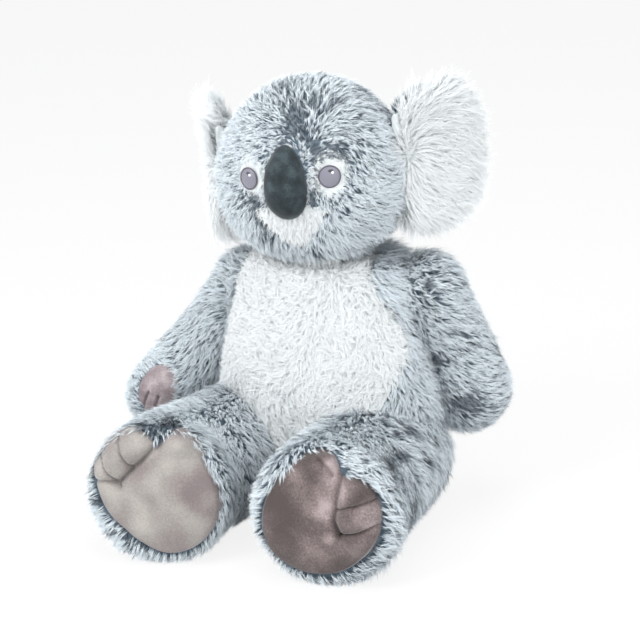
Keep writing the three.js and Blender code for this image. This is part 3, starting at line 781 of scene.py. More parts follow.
@dataclass(frozen=True)
class Coat:
    """Pile on part of a skin: which fabric, where it grows, which way and how long."""

    name: str
    body: str
    fabric: PileFabric
    pile: Pile
    flow: Field
    grows: Field
    length: Field = lambda local: np.ones(len(local))
    shade: Field = lambda local: np.zeros(len(local))
    seed: int = 1

    def grow(self, skin: Skin) -> bpy.types.Object:
        """Grows the coat as flat tapering strands gathered into locks.

        A lock's strands start round its root and draw together towards its tip. Each strand rises at the root's
        angle for half its length, then lies down to the tip's angle and sags a little. It is a ribbon of a
        quadrilateral and a triangle, turned at random about its own line. Locks are dark where a wandering field
        is near zero, which opens slits, and where a slower one makes a patch.

        Args:
            skin: the surface that it grows on.

        Returns:
            The coat's object, riding on its body.
        """
        pile, rng = self.pile, np.random.default_rng(self.seed)
        roots = skin.scatter(pile.locks_per_cm2, self.seed)
        share = self.grows(roots.local)
        kept = share > rng.random(len(share))
        local, ground, normal = roots.local[kept], roots.points[kept], roots.normals[kept]
        locks, per = len(ground), pile.per_lock
        flow = skin.place.directions(self.flow(local))
        flow = unit(flow - (flow * normal).sum(1, keepdims=True) * normal)
        beside = np.cross(normal, flow)
        swirl = wander(ground, pile.swirl_size, self.seed) * pile.stray * 1.6
        yaw = np.radians(rng.normal(0, pile.stray, locks) + swirl)[:, None]
        flow, beside = flow * np.cos(yaw) + beside * np.sin(yaw), beside * np.cos(yaw) - flow * np.sin(yaw)
        length = pile.length * self.length(local) * rng.uniform(0.8, 1.15, locks)
        rise = np.radians(pile.rise + rng.normal(0, 7, locks))[:, None]
        lie = np.radians(pile.lie + rng.normal(0, 8, locks))[:, None]
        slit = 1 - ramp(np.abs(wander(ground, pile.slit_size, self.seed + 7)), 0.08, 0.32)
        patch = ramp(wander(ground, pile.patch_size, self.seed + 9) + pile.parting, -0.4, 0.9)
        # Dark locks along the slits and in patches stand for dark roots where the pile parts: partly the pile's own
        # colour and partly painted shade.
        dark = rng.random(locks) < 0.05 + (0.14 + 0.8 * slit) * patch + self.shade(local)
        tone = np.where(dark, rng.uniform(*pile.dark_tones, locks), rng.uniform(*pile.light_tones, locks))
        length = length * np.where(dark, pile.dark_length, 1)

        def each(values: Array) -> Array:
            """A lock's value given to each of its strands."""
            return np.repeat(values, per, axis=0)

        # Strands: where each starts in its lock, its bend and its tip, drawn in by the lock's gather.
        count = locks * per
        angle = rng.random(count) * 2 * math.pi
        radius = pile.lock_radius * np.sqrt(rng.random(count))
        offset = each(flow) * (radius * np.cos(angle))[:, None] + each(beside) * (radius * np.sin(angle))[:, None]
        size = (each(length) * rng.uniform(0.72, 1.08, count))[:, None]
        root = each(ground) + offset - each(normal) * pile.root_depth
        up, out = each(normal), each(flow)
        first = out * np.cos(each(rise)) + up * np.sin(each(rise))
        second = unit(out * np.cos(each(lie)) + up * np.sin(each(lie)) + np.array([0, 0, -pile.sag]))
        bend = root + first * size * pile.below_bend - offset * pile.gather * pile.gathered_at_bend
        tip = bend + second * size * pile.above_bend - offset * pile.gather * (1 - pile.gathered_at_bend)
        tip = tip + rng.normal(0, pile.tip_scatter, (count, 3))
        roll = np.radians(rng.normal(0, 18, count))[:, None]
        side = unit(np.cross(tip - root, up))
        side = unit(side * np.cos(roll) + np.cross(unit(tip - root), side) * np.sin(roll))
        half = pile.width / 2 * side * rng.uniform(0.75, 1.2, count)[:, None]
        upper = half * pile.width_at_bend
        points = np.stack([root - half, root + half, bend + upper, bend - upper, tip], 1).reshape(-1, 3)
        points[:, 2] = np.maximum(points[:, 2], FLOOR_GAP)
        start = 5 * np.arange(count)[:, None]
        obj = make_mesh(self.name, points, [start + np.array([0, 1, 2, 3]), start + np.array([3, 2, 4])])

        # The map: across holds the lock's tone, a hair wider than a line, and along runs from root to tip.
        tones = [each(tone)[:, None] + np.array(steps) for steps in ([0, 0.012, 0.012, 0], [0, 0.012, 0.006])]
        heights = [np.broadcast_to(steps, (count, len(steps))) for steps in ([0.0, 0.0, 0.5, 0.5], [0.5, 0.5, 1.0])]
        uv = np.stack([np.concatenate([block.ravel() for block in blocks]) for blocks in (tones, heights)], -1)
        obj.data.uv_layers.new(name="OFBake").data.foreach_set("uv", uv.astype(np.float32).ravel())
        dress(obj, self.fabric, self.body, self.fabric.slot)
        log.info("%s: %d strands, %d triangles", self.name, count, 3 * count)
        return obj


@dataclass
class Torso:
    """The pear-shaped torso with its white belly panel, and the neck."""

    height: float = 346 * MM
    half_width: float = 138 * MM
    half_depth: float = 108 * MM
    belly_share: float = 0.915
    belly_start: float = 17 * MM
    rim: float = 314 * MM
    neck_radius: float = 58 * MM
    neck_centre: Vector = (0.505 * MM, -4.5 * MM, 330 * MM)
    knots: tuple[Vector, ...] = ((0, 0, 0), (5 * MM, -9 * MM, 0.3), (4 * MM, -7.2 * MM, 0.62), (0, -1.8 * MM, 1))
    width_shares: tuple[float, ...] = (0.87, 0.97, 1, 0.99, 0.93, 0.855, 0.76, 0.66)
    depth_shares: tuple[float, ...] = (0.85, 0.94, 1, 0.99, 0.925, 0.81, 0.68, 0.6)

    def __post_init__(self) -> None:
        """Works out the form and its place from the neck's hinge."""
        self.place = Place(joint_origin("head_turn") - np.array(self.neck_centre), np.eye(3))
        spine = tuple((x, y, share * self.height - 0.5 * MM) for x, y, share in self.knots)
        ends = Cap(40 * MM, 6), Cap(60 * MM)
        self.form = Form(spine, self.half_width, self.half_depth, *ends, self.width_shares, self.depth_shares)

    def belly(self, local: Array) -> Array:
        """Tells the belly panel, which follows the torso's width and narrows towards its top and its foot.

        Args:
            local: points on the torso.

        Returns:
            1 on the panel and 0 off it.
        """
        x, y, z = local.T
        left = x > 0
        edge = self.half_width * smooth(self.width_shares, z / self.height) * self.belly_share
        edge = edge + np.where(left, 3 * MM, 0) - np.where(left, 24 * MM, 6 * MM) * ramp(z, 235 * MM, 325 * MM)
        foot = 1 - ramp(z, 60 * MM, np.where(left, 235 * MM, 140 * MM))
        edge = edge - np.where(left, 58 * MM, 20 * MM) * foot
        return ((y < 0) & (np.abs(x - 2 * MM) < edge) & (z > self.belly_start)).astype(float)

    def down(self, local: Array) -> Array:
        """The grey pile's flow: down and a little out from the middle, and more so near the neck."""
        high = ramp(local[:, 2], 240 * MM, 300 * MM)
        return np.stack([local[:, 0] * (2.2 + 6 * high), 0.02 + local[:, 1] * (1.2 + 2 * high), -0.5 + 0.25 * high], -1)

    def build(self, others: list[tuple[Form, Place]]) -> None:
        """Makes the skin, the grey coat on the sides and back, and the white coat on the belly.

        Args:
            others: the limbs that cover part of the torso.
        """
        skin = Skin(self.form, self.place, lambda local: held(local, 2, 0.2 * MM, self.rim))
        body = dress(skin.mesh("torso_backing"), GREY_BACKING, "torso", "grey_pile", "torso_cover", "torso_filling")
        paint(body, self.place, self.belly, WHITE_BACKING)

        def bare(local: Array) -> Array:
            """Less where a limb covers the torso, and none under the seat.

            Args:
                local: points on the torso.

            Returns:
                The share of the roots there that grow.
            """
            share = ramp(local[:, 2], 1 * MM, 6 * MM)
            points = self.place.points(local)
            for form, place in others:
                share = share * np.where(form.depth_of(place.inward(points)) < 0.9, 0.25, 1)
            return share

        def brushed(local: Array) -> Array:
            """Down and out from the belly's middle line."""
            return np.stack([np.tanh(local[:, 0] / 0.03) * 0.35, np.zeros(len(local)), np.full(len(local), -0.6)], -1)

        for side in Side:
            Coat(
                f"torso_pile_{side.word}",
                "torso",
                GREY_PILE,
                Pile(19 * MM),
                self.down,
                lambda local, s=side.value: bare(local) * (1 - self.belly(local)) * (local[:, 0] * s >= 0),
                lambda local: 1 + 0.75 * ramp(local[:, 2], 240 * MM, 295 * MM),
                seed=11 + side.value,
            ).grow(skin)
        soft = Pile(19 * MM, locks_per_cm2=17, rise=36, lie=10, gather=0.2, stray=46, parting=-0.8)
        on_belly: Field = lambda local: bare(local) * self.belly(local)
        panel = Coat("belly_pile", "torso", WHITE_PILE, soft, brushed, on_belly, seed=14).grow(skin)
        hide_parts("belly_panel")

    def build_neck(self) -> None:
        """Makes the ball of filling that the head turns on, with white pile in front and grey behind."""
        r = self.neck_radius
        form = Form(((0, 0, -r), (0, 0, 0), (0, 0, r)), r, r, Cap(r), Cap(r))
        skin = Skin(form, Place(joint_origin("head_turn"), np.eye(3)), rings=32, sides=48)
        ball = dress(skin.mesh("neck_filling_wad"), WHITE_BACKING, "neck", "filling", "neck_filling")
        for number, (word, fabric) in enumerate((("front", WHITE_PILE), ("back", GREY_PILE))):

            def collar(local: Array, behind: bool = bool(number)) -> Array:
                """1 on a band below the head, in front or behind."""
                x, y, z = local.T
                return ((x + y > 0) == behind) * (z < 10 * MM) * ramp(z, -44 * MM, -36 * MM)

            tuft = Pile(13 * MM, rise=62, lie=30)
            Coat(f"neck_pile_{word}", "neck", fabric, tuft, self.down, collar, seed=15 + number).grow(skin)


@dataclass
class Head:
    """The head: frosted pile that radiates from the nose, with the muzzle, nose and eyes."""

    half_width: float = 111 * MM
    half_depth: float = 99 * MM
    height: float = 212 * MM
    rise: float = 92 * MM
    forward: float = 10 * MM
    eye_spacing: float = 96 * MM
    eye_lift: float = 13 * MM
    eye_radius: float = 13 * MM
    eye_crown: float = 2.6 * MM
    nose_lift: float = 8 * MM
    nose_half: tuple[float, float] = (25.5 * MM, 42 * MM)
    nose_depth: float = 22 * MM
    patch_half: tuple[float, float] = (20 * MM, 24 * MM)
    width_shares: tuple[float, ...] = (0.9, 1, 1.02, 1, 0.97, 0.93, 0.9)
    depth_shares: tuple[float, ...] = (0.92, 1, 1.03, 1.02, 1, 0.97, 0.95)

    def __post_init__(self) -> None:
        """Works out the head's frame from the hinges of the ears, whose axis is the head's own upright."""
        upright = unit(np.array(JOINTS["ear_left_fold"]["axis"], float))
        across = joint_origin("ear_left_fold") - joint_origin("ear_right_fold")
        across = unit(across - (across @ upright) * upright)
        self.place = Place(joint_origin("head_nod"), np.stack([across, np.cross(upright, across), upright], 1))
        self.centre = np.array([0, -self.forward, self.rise])
        self.bridge = self.centre + np.array([0, -self.half_depth, 38 * MM])
        reach = np.array([0, 0, self.height / 2])
        spine = self.centre - reach, self.centre, self.centre + reach
        ends = Cap(self.height / 2, 2.15), Cap(self.height / 2, 2.1)
        self.form = Form(spine, self.half_width, self.half_depth, *ends, self.width_shares, self.depth_shares)

    def face(self, x: float, z: float) -> Place:
        """A frame on the front of the head, where the ellipse at that height has that width.

        Args:
            x: the place across the face.
            z: its height above the head's middle.

        Returns:
            The frame: X along the face, Y up it and Z out of it.
        """
        share = z / self.height + 0.5
        round_off = math.sqrt(1 - (2 * share - 1) ** 2)
        a = self.half_width * float(smooth(self.width_shares, np.array([share]))[0]) * round_off
        b = self.half_depth * float(smooth(self.depth_shares, np.array([share]))[0]) * round_off
        y = -b * math.sqrt(1 - (x / a) ** 2)
        outward = unit(np.array([x / a**2, y / b**2, z / (self.height / 2) ** 2 / 2]))
        across = unit(np.cross([0, 0, 1], outward))
        axes = np.stack([across, np.cross(outward, across), outward], 1)
        return Place(self.place.points(self.centre + np.array([x, y, z])), self.place.axes @ axes)

    def seen(self, local: Array) -> tuple[Array, Array, Array]:
        """Places across and up the face from its middle, and whether they are on the front half."""
        x, y, z = (local - self.centre).T
        return x, z, y < -20 * MM

    def patches(self, local: Array) -> Array:
        """How near each place is to an eye, with a rim that wanders a little.

        Args:
            local: points on the head.

        Returns:
            0 at an eye's middle, 1 on the rim of its patch and far behind.
        """
        x, z, front = self.seen(local)
        half = self.eye_spacing / 2
        half = np.where(x < 0, half - 3.5 * MM, half)
        near = np.hypot((np.abs(x) - half) / self.patch_half[0], (z - self.eye_lift - 2 * MM) / self.patch_half[1])
        return np.where(front, near + 0.07 * wander(local, 4 * MM, 17), FAR)

    def muzzle(self, local: Array) -> Array:
        """1 on the white V under the nose, whose lower edge rises sideways, and 0 off it.

        Args:
            local: points on the head.

        Returns:
            1 or 0.
        """
        x, z, front = self.seen(local)
        x = np.abs(x)
        low = -68 * MM + 42 * MM * (x / (40 * MM)) ** 1.6
        return (front & (z > low) & (z < -16 * MM - x * 0.12) & (x < 42 * MM)).astype(float)

    def nose_room(self, local: Array) -> Array:
        """How near each place is to the nose.

        Args:
            local: points on the head.

        Returns:
            0 at its middle, 1 on its outline and far behind.
        """
        x, z, front = self.seen(local)
        near = np.hypot((x + 2 * MM) / self.nose_half[0], (z - self.nose_lift) / self.nose_half[1])
        return np.where(front, near, FAR)

    def radiate(self, local: Array) -> Array:
        """Away from the bridge of the nose, and down a little."""
        return unit(local - self.bridge) + np.array([0, 0, -0.12])

    def grey(self, local: Array) -> Array:
        """1 off the nose, the patches, the muzzle and the neck's seam.

        Args:
            local: points on the head.

        Returns:
            The share of the roots there that grow.
        """
        clear = ramp(self.nose_room(local), 0.94, 1.0) * ramp(self.patches(local), 0.66, 0.82)
        seam = ramp(np.hypot(local[:, 0], local[:, 1]) + np.maximum(local[:, 2], 0) * 2, 30 * MM, 44 * MM)
        return clear * (1 - self.muzzle(local)) * seam

    def pile_length(self, local: Array) -> Array:
        """Short beside the nose and the eyes, long on the cheeks and the crown."""
        near = np.minimum(self.nose_room(local) - 1, (self.patches(local) - 0.66) * 0.8)
        return 0.38 + 0.62 * ramp(near, 0.0, 1.7)

    def parted(self, local: Array) -> Array:
        """Darker along the parting above the nose, beside the muzzle and on the crown.

        Args:
            local: points on the head.

        Returns:
            What is added to the share of dark locks.
        """
        x, z, front = self.seen(local)
        above = np.exp(-(((x - 2 * MM) / (9 * MM)) ** 2) - (((z - 66 * MM) / (17 * MM)) ** 2))
        beside = np.exp(-(((np.abs(x) - 40 * MM) / (9 * MM)) ** 2) - (((z + 22 * MM) / (10 * MM)) ** 2))
        crown = ramp(local[:, 2] - self.centre[2], 45 * MM, 90 * MM)
        return front * (0.5 * above + 0.4 * beside) + 0.42 * crown

    def build(self) -> None:
        """Makes the skin, its coats, the nose and the eyes."""
        skin = Skin(self.form, self.place, rings=110, sides=140)
        body = dress(skin.mesh("head_backing"), GREY_BACKING, "head", "grey_pile", "head_cover", "head_filling")
        paint(body, self.place, lambda local: np.maximum(self.muzzle(local), self.patches(local) < 1), WHITE_BACKING)
        long = Pile(18 * MM, locks_per_cm2=15, stray=24, width=0.5 * MM)
        for number, word in enumerate(("face", "nape")):
            Coat(
                f"head_pile_{word}",
                "head",
                GREY_PILE,
                long,
                self.radiate,
                lambda local, behind=number: self.grey(local) * ((local[:, 1] - self.centre[1] >= 0) == behind),
                self.pile_length,
                self.parted,
                seed=21 + number,
            ).grow(skin)
        muzzle = Coat(
            "muzzle_pile",
            "head",
            WHITE_PILE,
            Pile(10 * MM, locks_per_cm2=24, width=0.5 * MM, rise=42, lie=12, gather=0.4, stray=24, parting=-0.5),
            lambda local: np.stack([local[:, 0] * 6, np.zeros(len(local)), np.full(len(local), -0.5)], -1),
            lambda local: self.muzzle(local) * ramp(self.nose_room(local), 0.86, 0.95),
            seed=23,
        ).grow(skin)
        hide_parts("muzzle_panel")
        for side in Side:
            eye = self.face(side.value * self.eye_spacing / 2, self.eye_lift)
            self.build_patch(side, self.place.inward(eye.origin), skin)
            self.build_eye(side, eye)
        self.build_nose()

    def build_patch(self, side: Side, middle: Array, skin: Skin) -> None:
        """The short white pile round an eye's disc.

        Args:
            side: which eye.
            middle: the disc's middle in the head's frame.
            skin: the head's skin.
        """

        def ring(local: Array) -> Array:
            """1 round the disc, inside its patch and off the nose.

            Args:
                local: points on the head.

            Returns:
                The share of the roots there that grow.
            """
            clear = ramp(np.linalg.norm(local - middle, axis=1), 11.5 * MM, 12.5 * MM)
            inside = (self.patches(local) < 1.04) * (local[:, 0] * side.value > 0)
            return inside * clear * ramp(self.nose_room(local), 0.94, 1.0)

        look = {"rise": 40, "lie": 8, "gather": 0.3, "stray": 30, "sag": 0.05}
        short = Pile(5 * MM, locks_per_cm2=24, lock_radius=1.8 * MM, width=0.5 * MM, **look)
        name, outwards = f"eye_patch_pile_{side.word}", lambda local: local - middle
        patch = Coat(name, "head", WHITE_PILE, short, outwards, ring, seed=25 + side.value).grow(skin)
        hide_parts(f"eye_patch_{side.word}")

    def build_eye(self, side: Side, eye: Place) -> None:
        """An embroidered disc, a corded edge, a dark arc and a white glint.

        The disc's height falls from its crown with the square of the radius. The arc and the glint are small domes
        on it. The edge is a round profile carried along a circle.

        Args:
            side: which eye.
            eye: its frame on the face.
        """
        radius = self.eye_radius
        domes = (
            ("stitching", (0, 0), (radius, radius), 0.6 * MM, EYE_DISC),
            ("arc", (1.5 * MM, 6.6 * MM), (4.2 * MM, 2.2 * MM), 0.9 * MM, EYE_PUPIL),
            ("glint", (3.6 * MM, 4.6 * MM), (2.1 * MM, 2.1 * MM), 1.3 * MM, EYE_GLINT),
        )
        for word, centre, size, lift, thread in domes:
            r, a = disc_grid(12, 40)
            x, y = centre[0] + size[0] * r * np.cos(a), centre[1] + size[1] * r * np.sin(a)
            base = 1.2 * MM + self.eye_crown * (1 - (x**2 + y**2) / radius**2)
            points = np.stack([x, y, base + lift * (1 - r**2) - 0.5 * MM * (r == 1)], -1)
            dome = disc_mesh(f"eye_{word}_{side.word}", eye.points(points))
            dress(dome, thread, "head", "eye_thread")
            if thread is EYE_DISC:
                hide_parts(f"eye_{side.word}")
        around, within = 72, 10
        angles = (np.arange(steps) / steps * 2 * math.pi for steps in (around, within))
        a, b = np.meshgrid(*angles, indexing="ij")
        out = radius - 0.7 * MM + 0.9 * MM * np.cos(b)
        points = np.stack([out * np.cos(a), out * np.sin(a), 1.5 * MM + 0.9 * MM * np.sin(b)], -1).reshape(-1, 3)
        grid = np.arange(around * within).reshape(around, within)
        onward, over = np.roll(grid, -1, axis=0), np.roll(grid, -1, axis=1)
        quads = np.stack([grid, onward, np.roll(onward, -1, axis=1), over], -1).reshape(-1, 4)
        edge = make_mesh(f"eye_edge_{side.word}", eye.points(points), [quads], smooth_shaded=True)
        dress(edge, EYE_RING, "head", "eye_thread")

    def build_nose(self) -> None:
        """The padded nose, dimpled by its filling and with its edge tucked into the pile."""
        seat = self.place.inward(self.face(0, self.nose_lift).origin) + np.array([-2 * MM, 5 * MM, 0])
        half_width, half_height = self.nose_half
        spine = tuple(seat + np.array([0, y * MM, z * half_height]) for y, z in ((5, -1), (-5, 0), (10, 1)))
        ends = Cap(half_height, 2.5), Cap(half_height, 2.3)
        shares = (0.9, 1, 0.99, 0.92, 0.8, 0.66), (0.9, 1, 0.99, 0.94, 0.84, 0.72)
        form = Form(spine, half_width, self.nose_depth, *ends, *shares)

        def dimpled(local: Array) -> Array:
            """In and out by a wandering 0.7 mm."""
            return local + wander(local, 14 * MM, 31)[..., None] * np.array([0, 0.7 * MM, 0])

        pad = Skin(form, self.place, dimpled, rings=70, sides=80).mesh("nose_velour_pad")
        dress(pad, NOSE_VELOUR, "head", "velour", "nose")


@dataclass
class Ear:
    """An ear of two panels: a white front with long pile and a grey back."""

    side: Side
    sweep: float
    wrap: float
    width: float = 130 * MM
    height: float = 156 * MM
    thickness: float = 30 * MM
    cup: float = 9 * MM
    seat: float = 15 * MM

    def build(self, head: Head) -> None:
        """Makes both panels and their coats.

        Args:
            head: the head that the ear is sewn to.
        """
        s, name = self.side.value, f"ear_{self.side.word}"
        middle, half = s * (self.width / 2 - self.seat), self.height / 2
        place = Place(joint_origin(f"{name}_fold"), head.place.axes @ turn(2, s * self.sweep))
        spine = (middle, -self.cup, -half), (middle, 0, 0), (middle, -self.cup, half)
        form = Form(spine, self.width / 2, self.thickness / 2, Cap(half, 2.2), Cap(half, 2.2))
        # What would lie in the head is drawn out to the seam.
        root = sorted((s * 2 * MM, s * math.inf))
        skin = Skin(form, place, lambda local: held(local, 0, *root), rings=64, sides=80)
        nodes = f"ear_back_{self.side.word}", f"ear_front_{self.side.word}"
        body = dress(skin.mesh(f"{name}_backing"), GREY_BACKING, name, "grey_pile", *nodes)
        paint(body, place, lambda local: local[:, 1] < 0, WHITE_BACKING)

        def outwards(local: Array) -> Array:
            """From a line beside the root to the rim, and back over the root."""
            return (local - np.array([s * 14 * MM, 0, 6 * MM])) * np.array([1, 1, 0.55])

        def rim(local: Array) -> Array:
            """0 at the middle of a panel and 1 at the rim."""
            return np.hypot((local[:, 0] - middle) / (self.width / 2), local[:, 2] / half)

        def border(local: Array) -> Array:
            """How far back the white pile reaches: less at the top of the root, where the grey folds over the rim."""
            fold = ramp(local[:, 2], 40 * MM, 60 * MM) * (1 - ramp(local[:, 0] * s, 44 * MM, 80 * MM))
            return 0.6 * MM + self.wrap * (1 - ramp(local[:, 0] * s, 30 * MM, 60 * MM)) - 12 * MM * fold

        def front(local: Array) -> Array:
            """1 before the border and clear of the root."""
            return (local[:, 1] - border(local) < 0) * ramp(local[:, 0] * s, 2.2 * MM, 4 * MM)

        def back(local: Array) -> Array:
            """1 behind the border, with a little overlap, and clear of the root."""
            return (border(local) - local[:, 1] < 1.5 * MM) * ramp(local[:, 0] * s, 2.2 * MM, 4 * MM)

        long = Pile(27 * MM, locks_per_cm2=25, width=0.5 * MM, rise=50, lie=16, gather=0.35, stray=18, parting=-0.8)
        short = Pile(17 * MM, locks_per_cm2=13, rise=48, lie=14)
        coats = ("front_pile", WHITE_PILE, long, front, 41), ("back_pile", GREY_PILE, short, back, 45)
        for word, fabric, pile, grows, seed in coats:
            Coat(
                f"{name}_{word}",
                name,
                fabric,
                pile,
                outwards,
                grows,
                lambda local: 0.85 + 0.35 * ramp(rim(local), 0.6, 1.0),
                lambda local: 0.5 * ramp(local[:, 2], 25 * MM, 55 * MM) * (1 - ramp(local[:, 0] * s, 30 * MM, 60 * MM)),
                seed=seed + s,
            ).grow(skin)


@dataclass
class Arm:
    """An arm with a velvety pad on its palm."""

    side: Side
    swing: float
    spread: float
    palm_turn: float
    length: float
    tilt: float = 13
    toe_out: float = 11
    top: float = 36 * MM
    width: float = 104 * MM
    thickness: float = 92 * MM
    root_offset: float = 22 * MM
    forward: float = 18 * MM
    shares: tuple[float, ...] = (0.8, 0.84, 0.9, 0.96, 1, 0.98)
    pad_half: tuple[float, float] = (26 * MM, 33 * MM)
    pad_creases: tuple[Line, ...] = (((-9, -33), (-7, -8)), ((8, -33), (7, -8)))

    def __post_init__(self) -> None:
        """Works out the arm's form, its place from the shoulder's hinge, and the palm."""
        s = self.side.value
        drops = (self.top, self.top / 4, -self.length / 3, -self.length * 2 / 3, -self.length)
        outs, forwards = (0, 0.05, 0.25, 0.65, 1), (0, 0, 0.1, 0.45, 1)
        knots = zip(drops, outs, forwards)
        spine = tuple((s * (self.root_offset + self.spread * o), -self.forward * f, z) for z, o, f in knots)
        sizes, ends = (self.width / 2, self.thickness / 2), (Cap(self.top), Cap(50 * MM, 2.3))
        self.form = Form(spine, *sizes, *ends, self.shares, self.shares, across=(0, 1, 0))
        axes = turn(2, s * self.toe_out) @ turn(1, -s * self.tilt) @ turn(0, self.swing)
        self.place = Place(joint_origin(f"arm_{self.side.word}_swing"), axes)
        self.hand = self.form.section(np.array([self.form.line()[1][-1] - self.width / 2]))[0][0]
        a = math.radians(self.palm_turn)
        self.palm = np.array([-s * math.cos(a), -math.sin(a), 0])
        self.across = unit(np.cross([0, 0, 1], self.palm))
        self.up = np.cross(self.palm, self.across)

    def on_pad(self, local: Array) -> Array:
        """How near each place is to the pad, whose rim overlaps the pile by 2 mm.

        Args:
            local: points on the arm.

        Returns:
            0 at its middle, 1 on the line where the pile begins and far on the other side of the hand.
        """
        offset = local - self.hand
        near = np.hypot(offset @ self.across / (24 * MM), offset @ self.up / (31 * MM))
        return np.where(offset @ self.palm > 10 * MM, near, FAR)

    def build(self) -> None:
        """Makes the skin, the coat and the palm's pad."""
        s, word = self.side.value, self.side.word
        name = f"arm_{word}"
        beside = sorted((s * 0.5 * MM, s * math.inf))
        skin = Skin(self.form, self.place, lambda local: held(local, 0, *beside))
        nodes = f"arm_cover_{word}", f"arm_filling_{word}"
        body = dress(skin.mesh(f"{name}_backing"), GREY_BACKING, name, "grey_pile", *nodes)

        def pressed(local: Array) -> Array:
            """1, but less where the arm lies on the torso."""
            return np.where(local[:, 0] * s < 1.2 * MM, 0.35, 1)

        def length(local: Array) -> Array:
            """Short round the pad and on the hand, long at the shoulder.

            Args:
                local: points on the arm.

            Returns:
                The share of the pile's length.
            """
            near = 0.6 + 0.4 * ramp(self.on_pad(local), 1.0, 1.5)
            shoulder, hand = ramp(local[:, 2], 0, self.top), ramp(-local[:, 2], self.length - 30 * MM, self.length)
            return pressed(local) * near * (1 + 0.2 * shoulder - 0.3 * hand)

        Coat(
            f"{name}_pile",
            name,
            GREY_PILE,
            Pile(18 * MM, parting=0.1),
            lambda local: np.tile([s * 1.0, 0.15, -0.55], (len(local), 1)),
            lambda local: ramp(self.on_pad(local), 0.92, 1.0) * pressed(local),
            length,
            seed=51 + s,
        ).grow(skin)
        self.build_pad(name)

    def build_pad(self, name: str) -> None:
        """The pad: a crowned oval sheet that stands on the hand, with two creases between its fingers.

        Where it stands is found by halving: each of its points moves out from the hand's middle until it lies on
        the arm's own surface. Its height is a crown that falls with the fourth power of the radius, less a
        bell-shaped groove along each crease, and its rim is sunk into the pile.

        Args:
            name: the arm's name.
        """
        rings, sides = 24, 64
        r, t = (grid.ravel() for grid in disc_grid(rings, sides))
        plane = np.stack([self.pad_half[0] * r * np.cos(t), self.pad_half[1] * r * np.sin(t)], -1)
        base = self.hand + plane[:, :1] * self.across + plane[:, 1:] * self.up
        low, high = np.zeros(len(base)), np.full(len(base), self.width)
        for _ in range(18):
            half = (low + high) / 2
            inside = self.form.depth_of(base + half[:, None] * self.palm) < 1
            low, high = np.where(inside, half, low), np.where(inside, high, half)
        crease = np.zeros(len(base))
        for line in self.pad_creases:
            crease += bell(line_distance(plane, np.array(line) * MM), 1.6 * MM)
        lift = 1.5 * MM + 4 * MM * (1 - r**4) - 3.2 * MM * np.minimum(crease, 1) - 5 * MM * (r > 0.97)
        points = self.place.points(base + (low + lift)[:, None] * self.palm).reshape(rings + 1, sides, 3)
        pad = disc_mesh(f"paw_pad_velboa_{self.side.word}", points)
        dress(pad, PAW_VELBOA, name, "plush_pad", f"paw_pad_{self.side.word}")
        # Painted shade along the creases between the fingers.
        set_attribute(pad, "crease", 0.6 * np.clip(from_middle(crease.reshape(rings + 1, sides)), 0, 1))


@dataclass(frozen=True)
class Toes:
    """A sole's outline, its stitched lines and its stuffed toes, in millimetres on the sole: X across and Y up.

    A pad is a toe's middle and radius. A painted light spot is a place's middle, its radius and how much lighter it is
    painted,
    darker where that is negative: painted highlights and painted shade where the velvet catches and loses the light.
    """

    outline: Line
    stitches: tuple[Line, ...]
    folds: tuple[Line, ...]
    pads: tuple[tuple[float, float, float], ...]
    strokes: tuple[tuple[float, float, float, float], ...]


LEFT_TOES = Toes(
    outline=(
        *((-9, 78), (9, 78), (19, 66), (22, 52), (36, 51), (54, 43), (65, 28), (69, 7), (65, -20), (46, -48)),
        *((22, -66), (-11, -72), (-43, -64), (-66, -46), (-75, -20), (-72, 8), (-60, 35), (-43, 53), (-28, 70)),
    ),
    stitches=(((19, 12.5), (34, 19.5), (60, 25)), ((22, -17), (43, -11), (70, -1))),
    folds=(((22.7, 50), (19, 29), (17, 15), (15, 0.5), (22, -17)), ((-2, 68), (6, 61), (12, 52))),
    pads=((-2, 64, 17), (39, 34, 15), (42, 6, 16), (45, -27, 16)),
    strokes=(
        *((8, 36, 22, 0.3), (2, 8, 14, 0.22), (10, -20, 10, 0.3), (12, 62, 10, 0.3)),
        *((-34, 6, 40, -0.1), (62, 10, 18, 0.25), (-10, -50, 24, 0.1)),
    ),
)
RIGHT_TOES = Toes(
    outline=(
        *((-83, 31), (-71, 50), (-48, 73), (-30, 80), (-10, 74), (3, 62), (13, 77), (27, 80), (43, 70), (57, 43)),
        *((68, 22), (74, -4), (63, -39), (38, -65), (10, -73), (-19, -61), (-42, -42), (-63, -22), (-76, 7)),
    ),
    stitches=(((-49, 73), (-42, 55.5), (-28, 34)), ((-72, 51), (-60, 32), (-42, 12.5))),
    folds=(
        ((-29, 36), (-14, 49), (-3, 60), (4, 64)),
        *(((-42, 20), (-35, 28), (-28, 35)), ((-77, 16), (-60, 20), (-46, 17))),
    ),
    pads=((-24, 60, 15), (-50, 46, 15), (-64, 25, 12), (29, 64, 14)),
    strokes=(
        *((-52, 40, 26, 0.14), (-30, -20, 34, 0.12), (58, 6, 26, -0.16)),
        *((28, 56, 20, 0.1), (20, 10, 18, -0.1), (30, -50, 22, -0.08)),
    ),
)


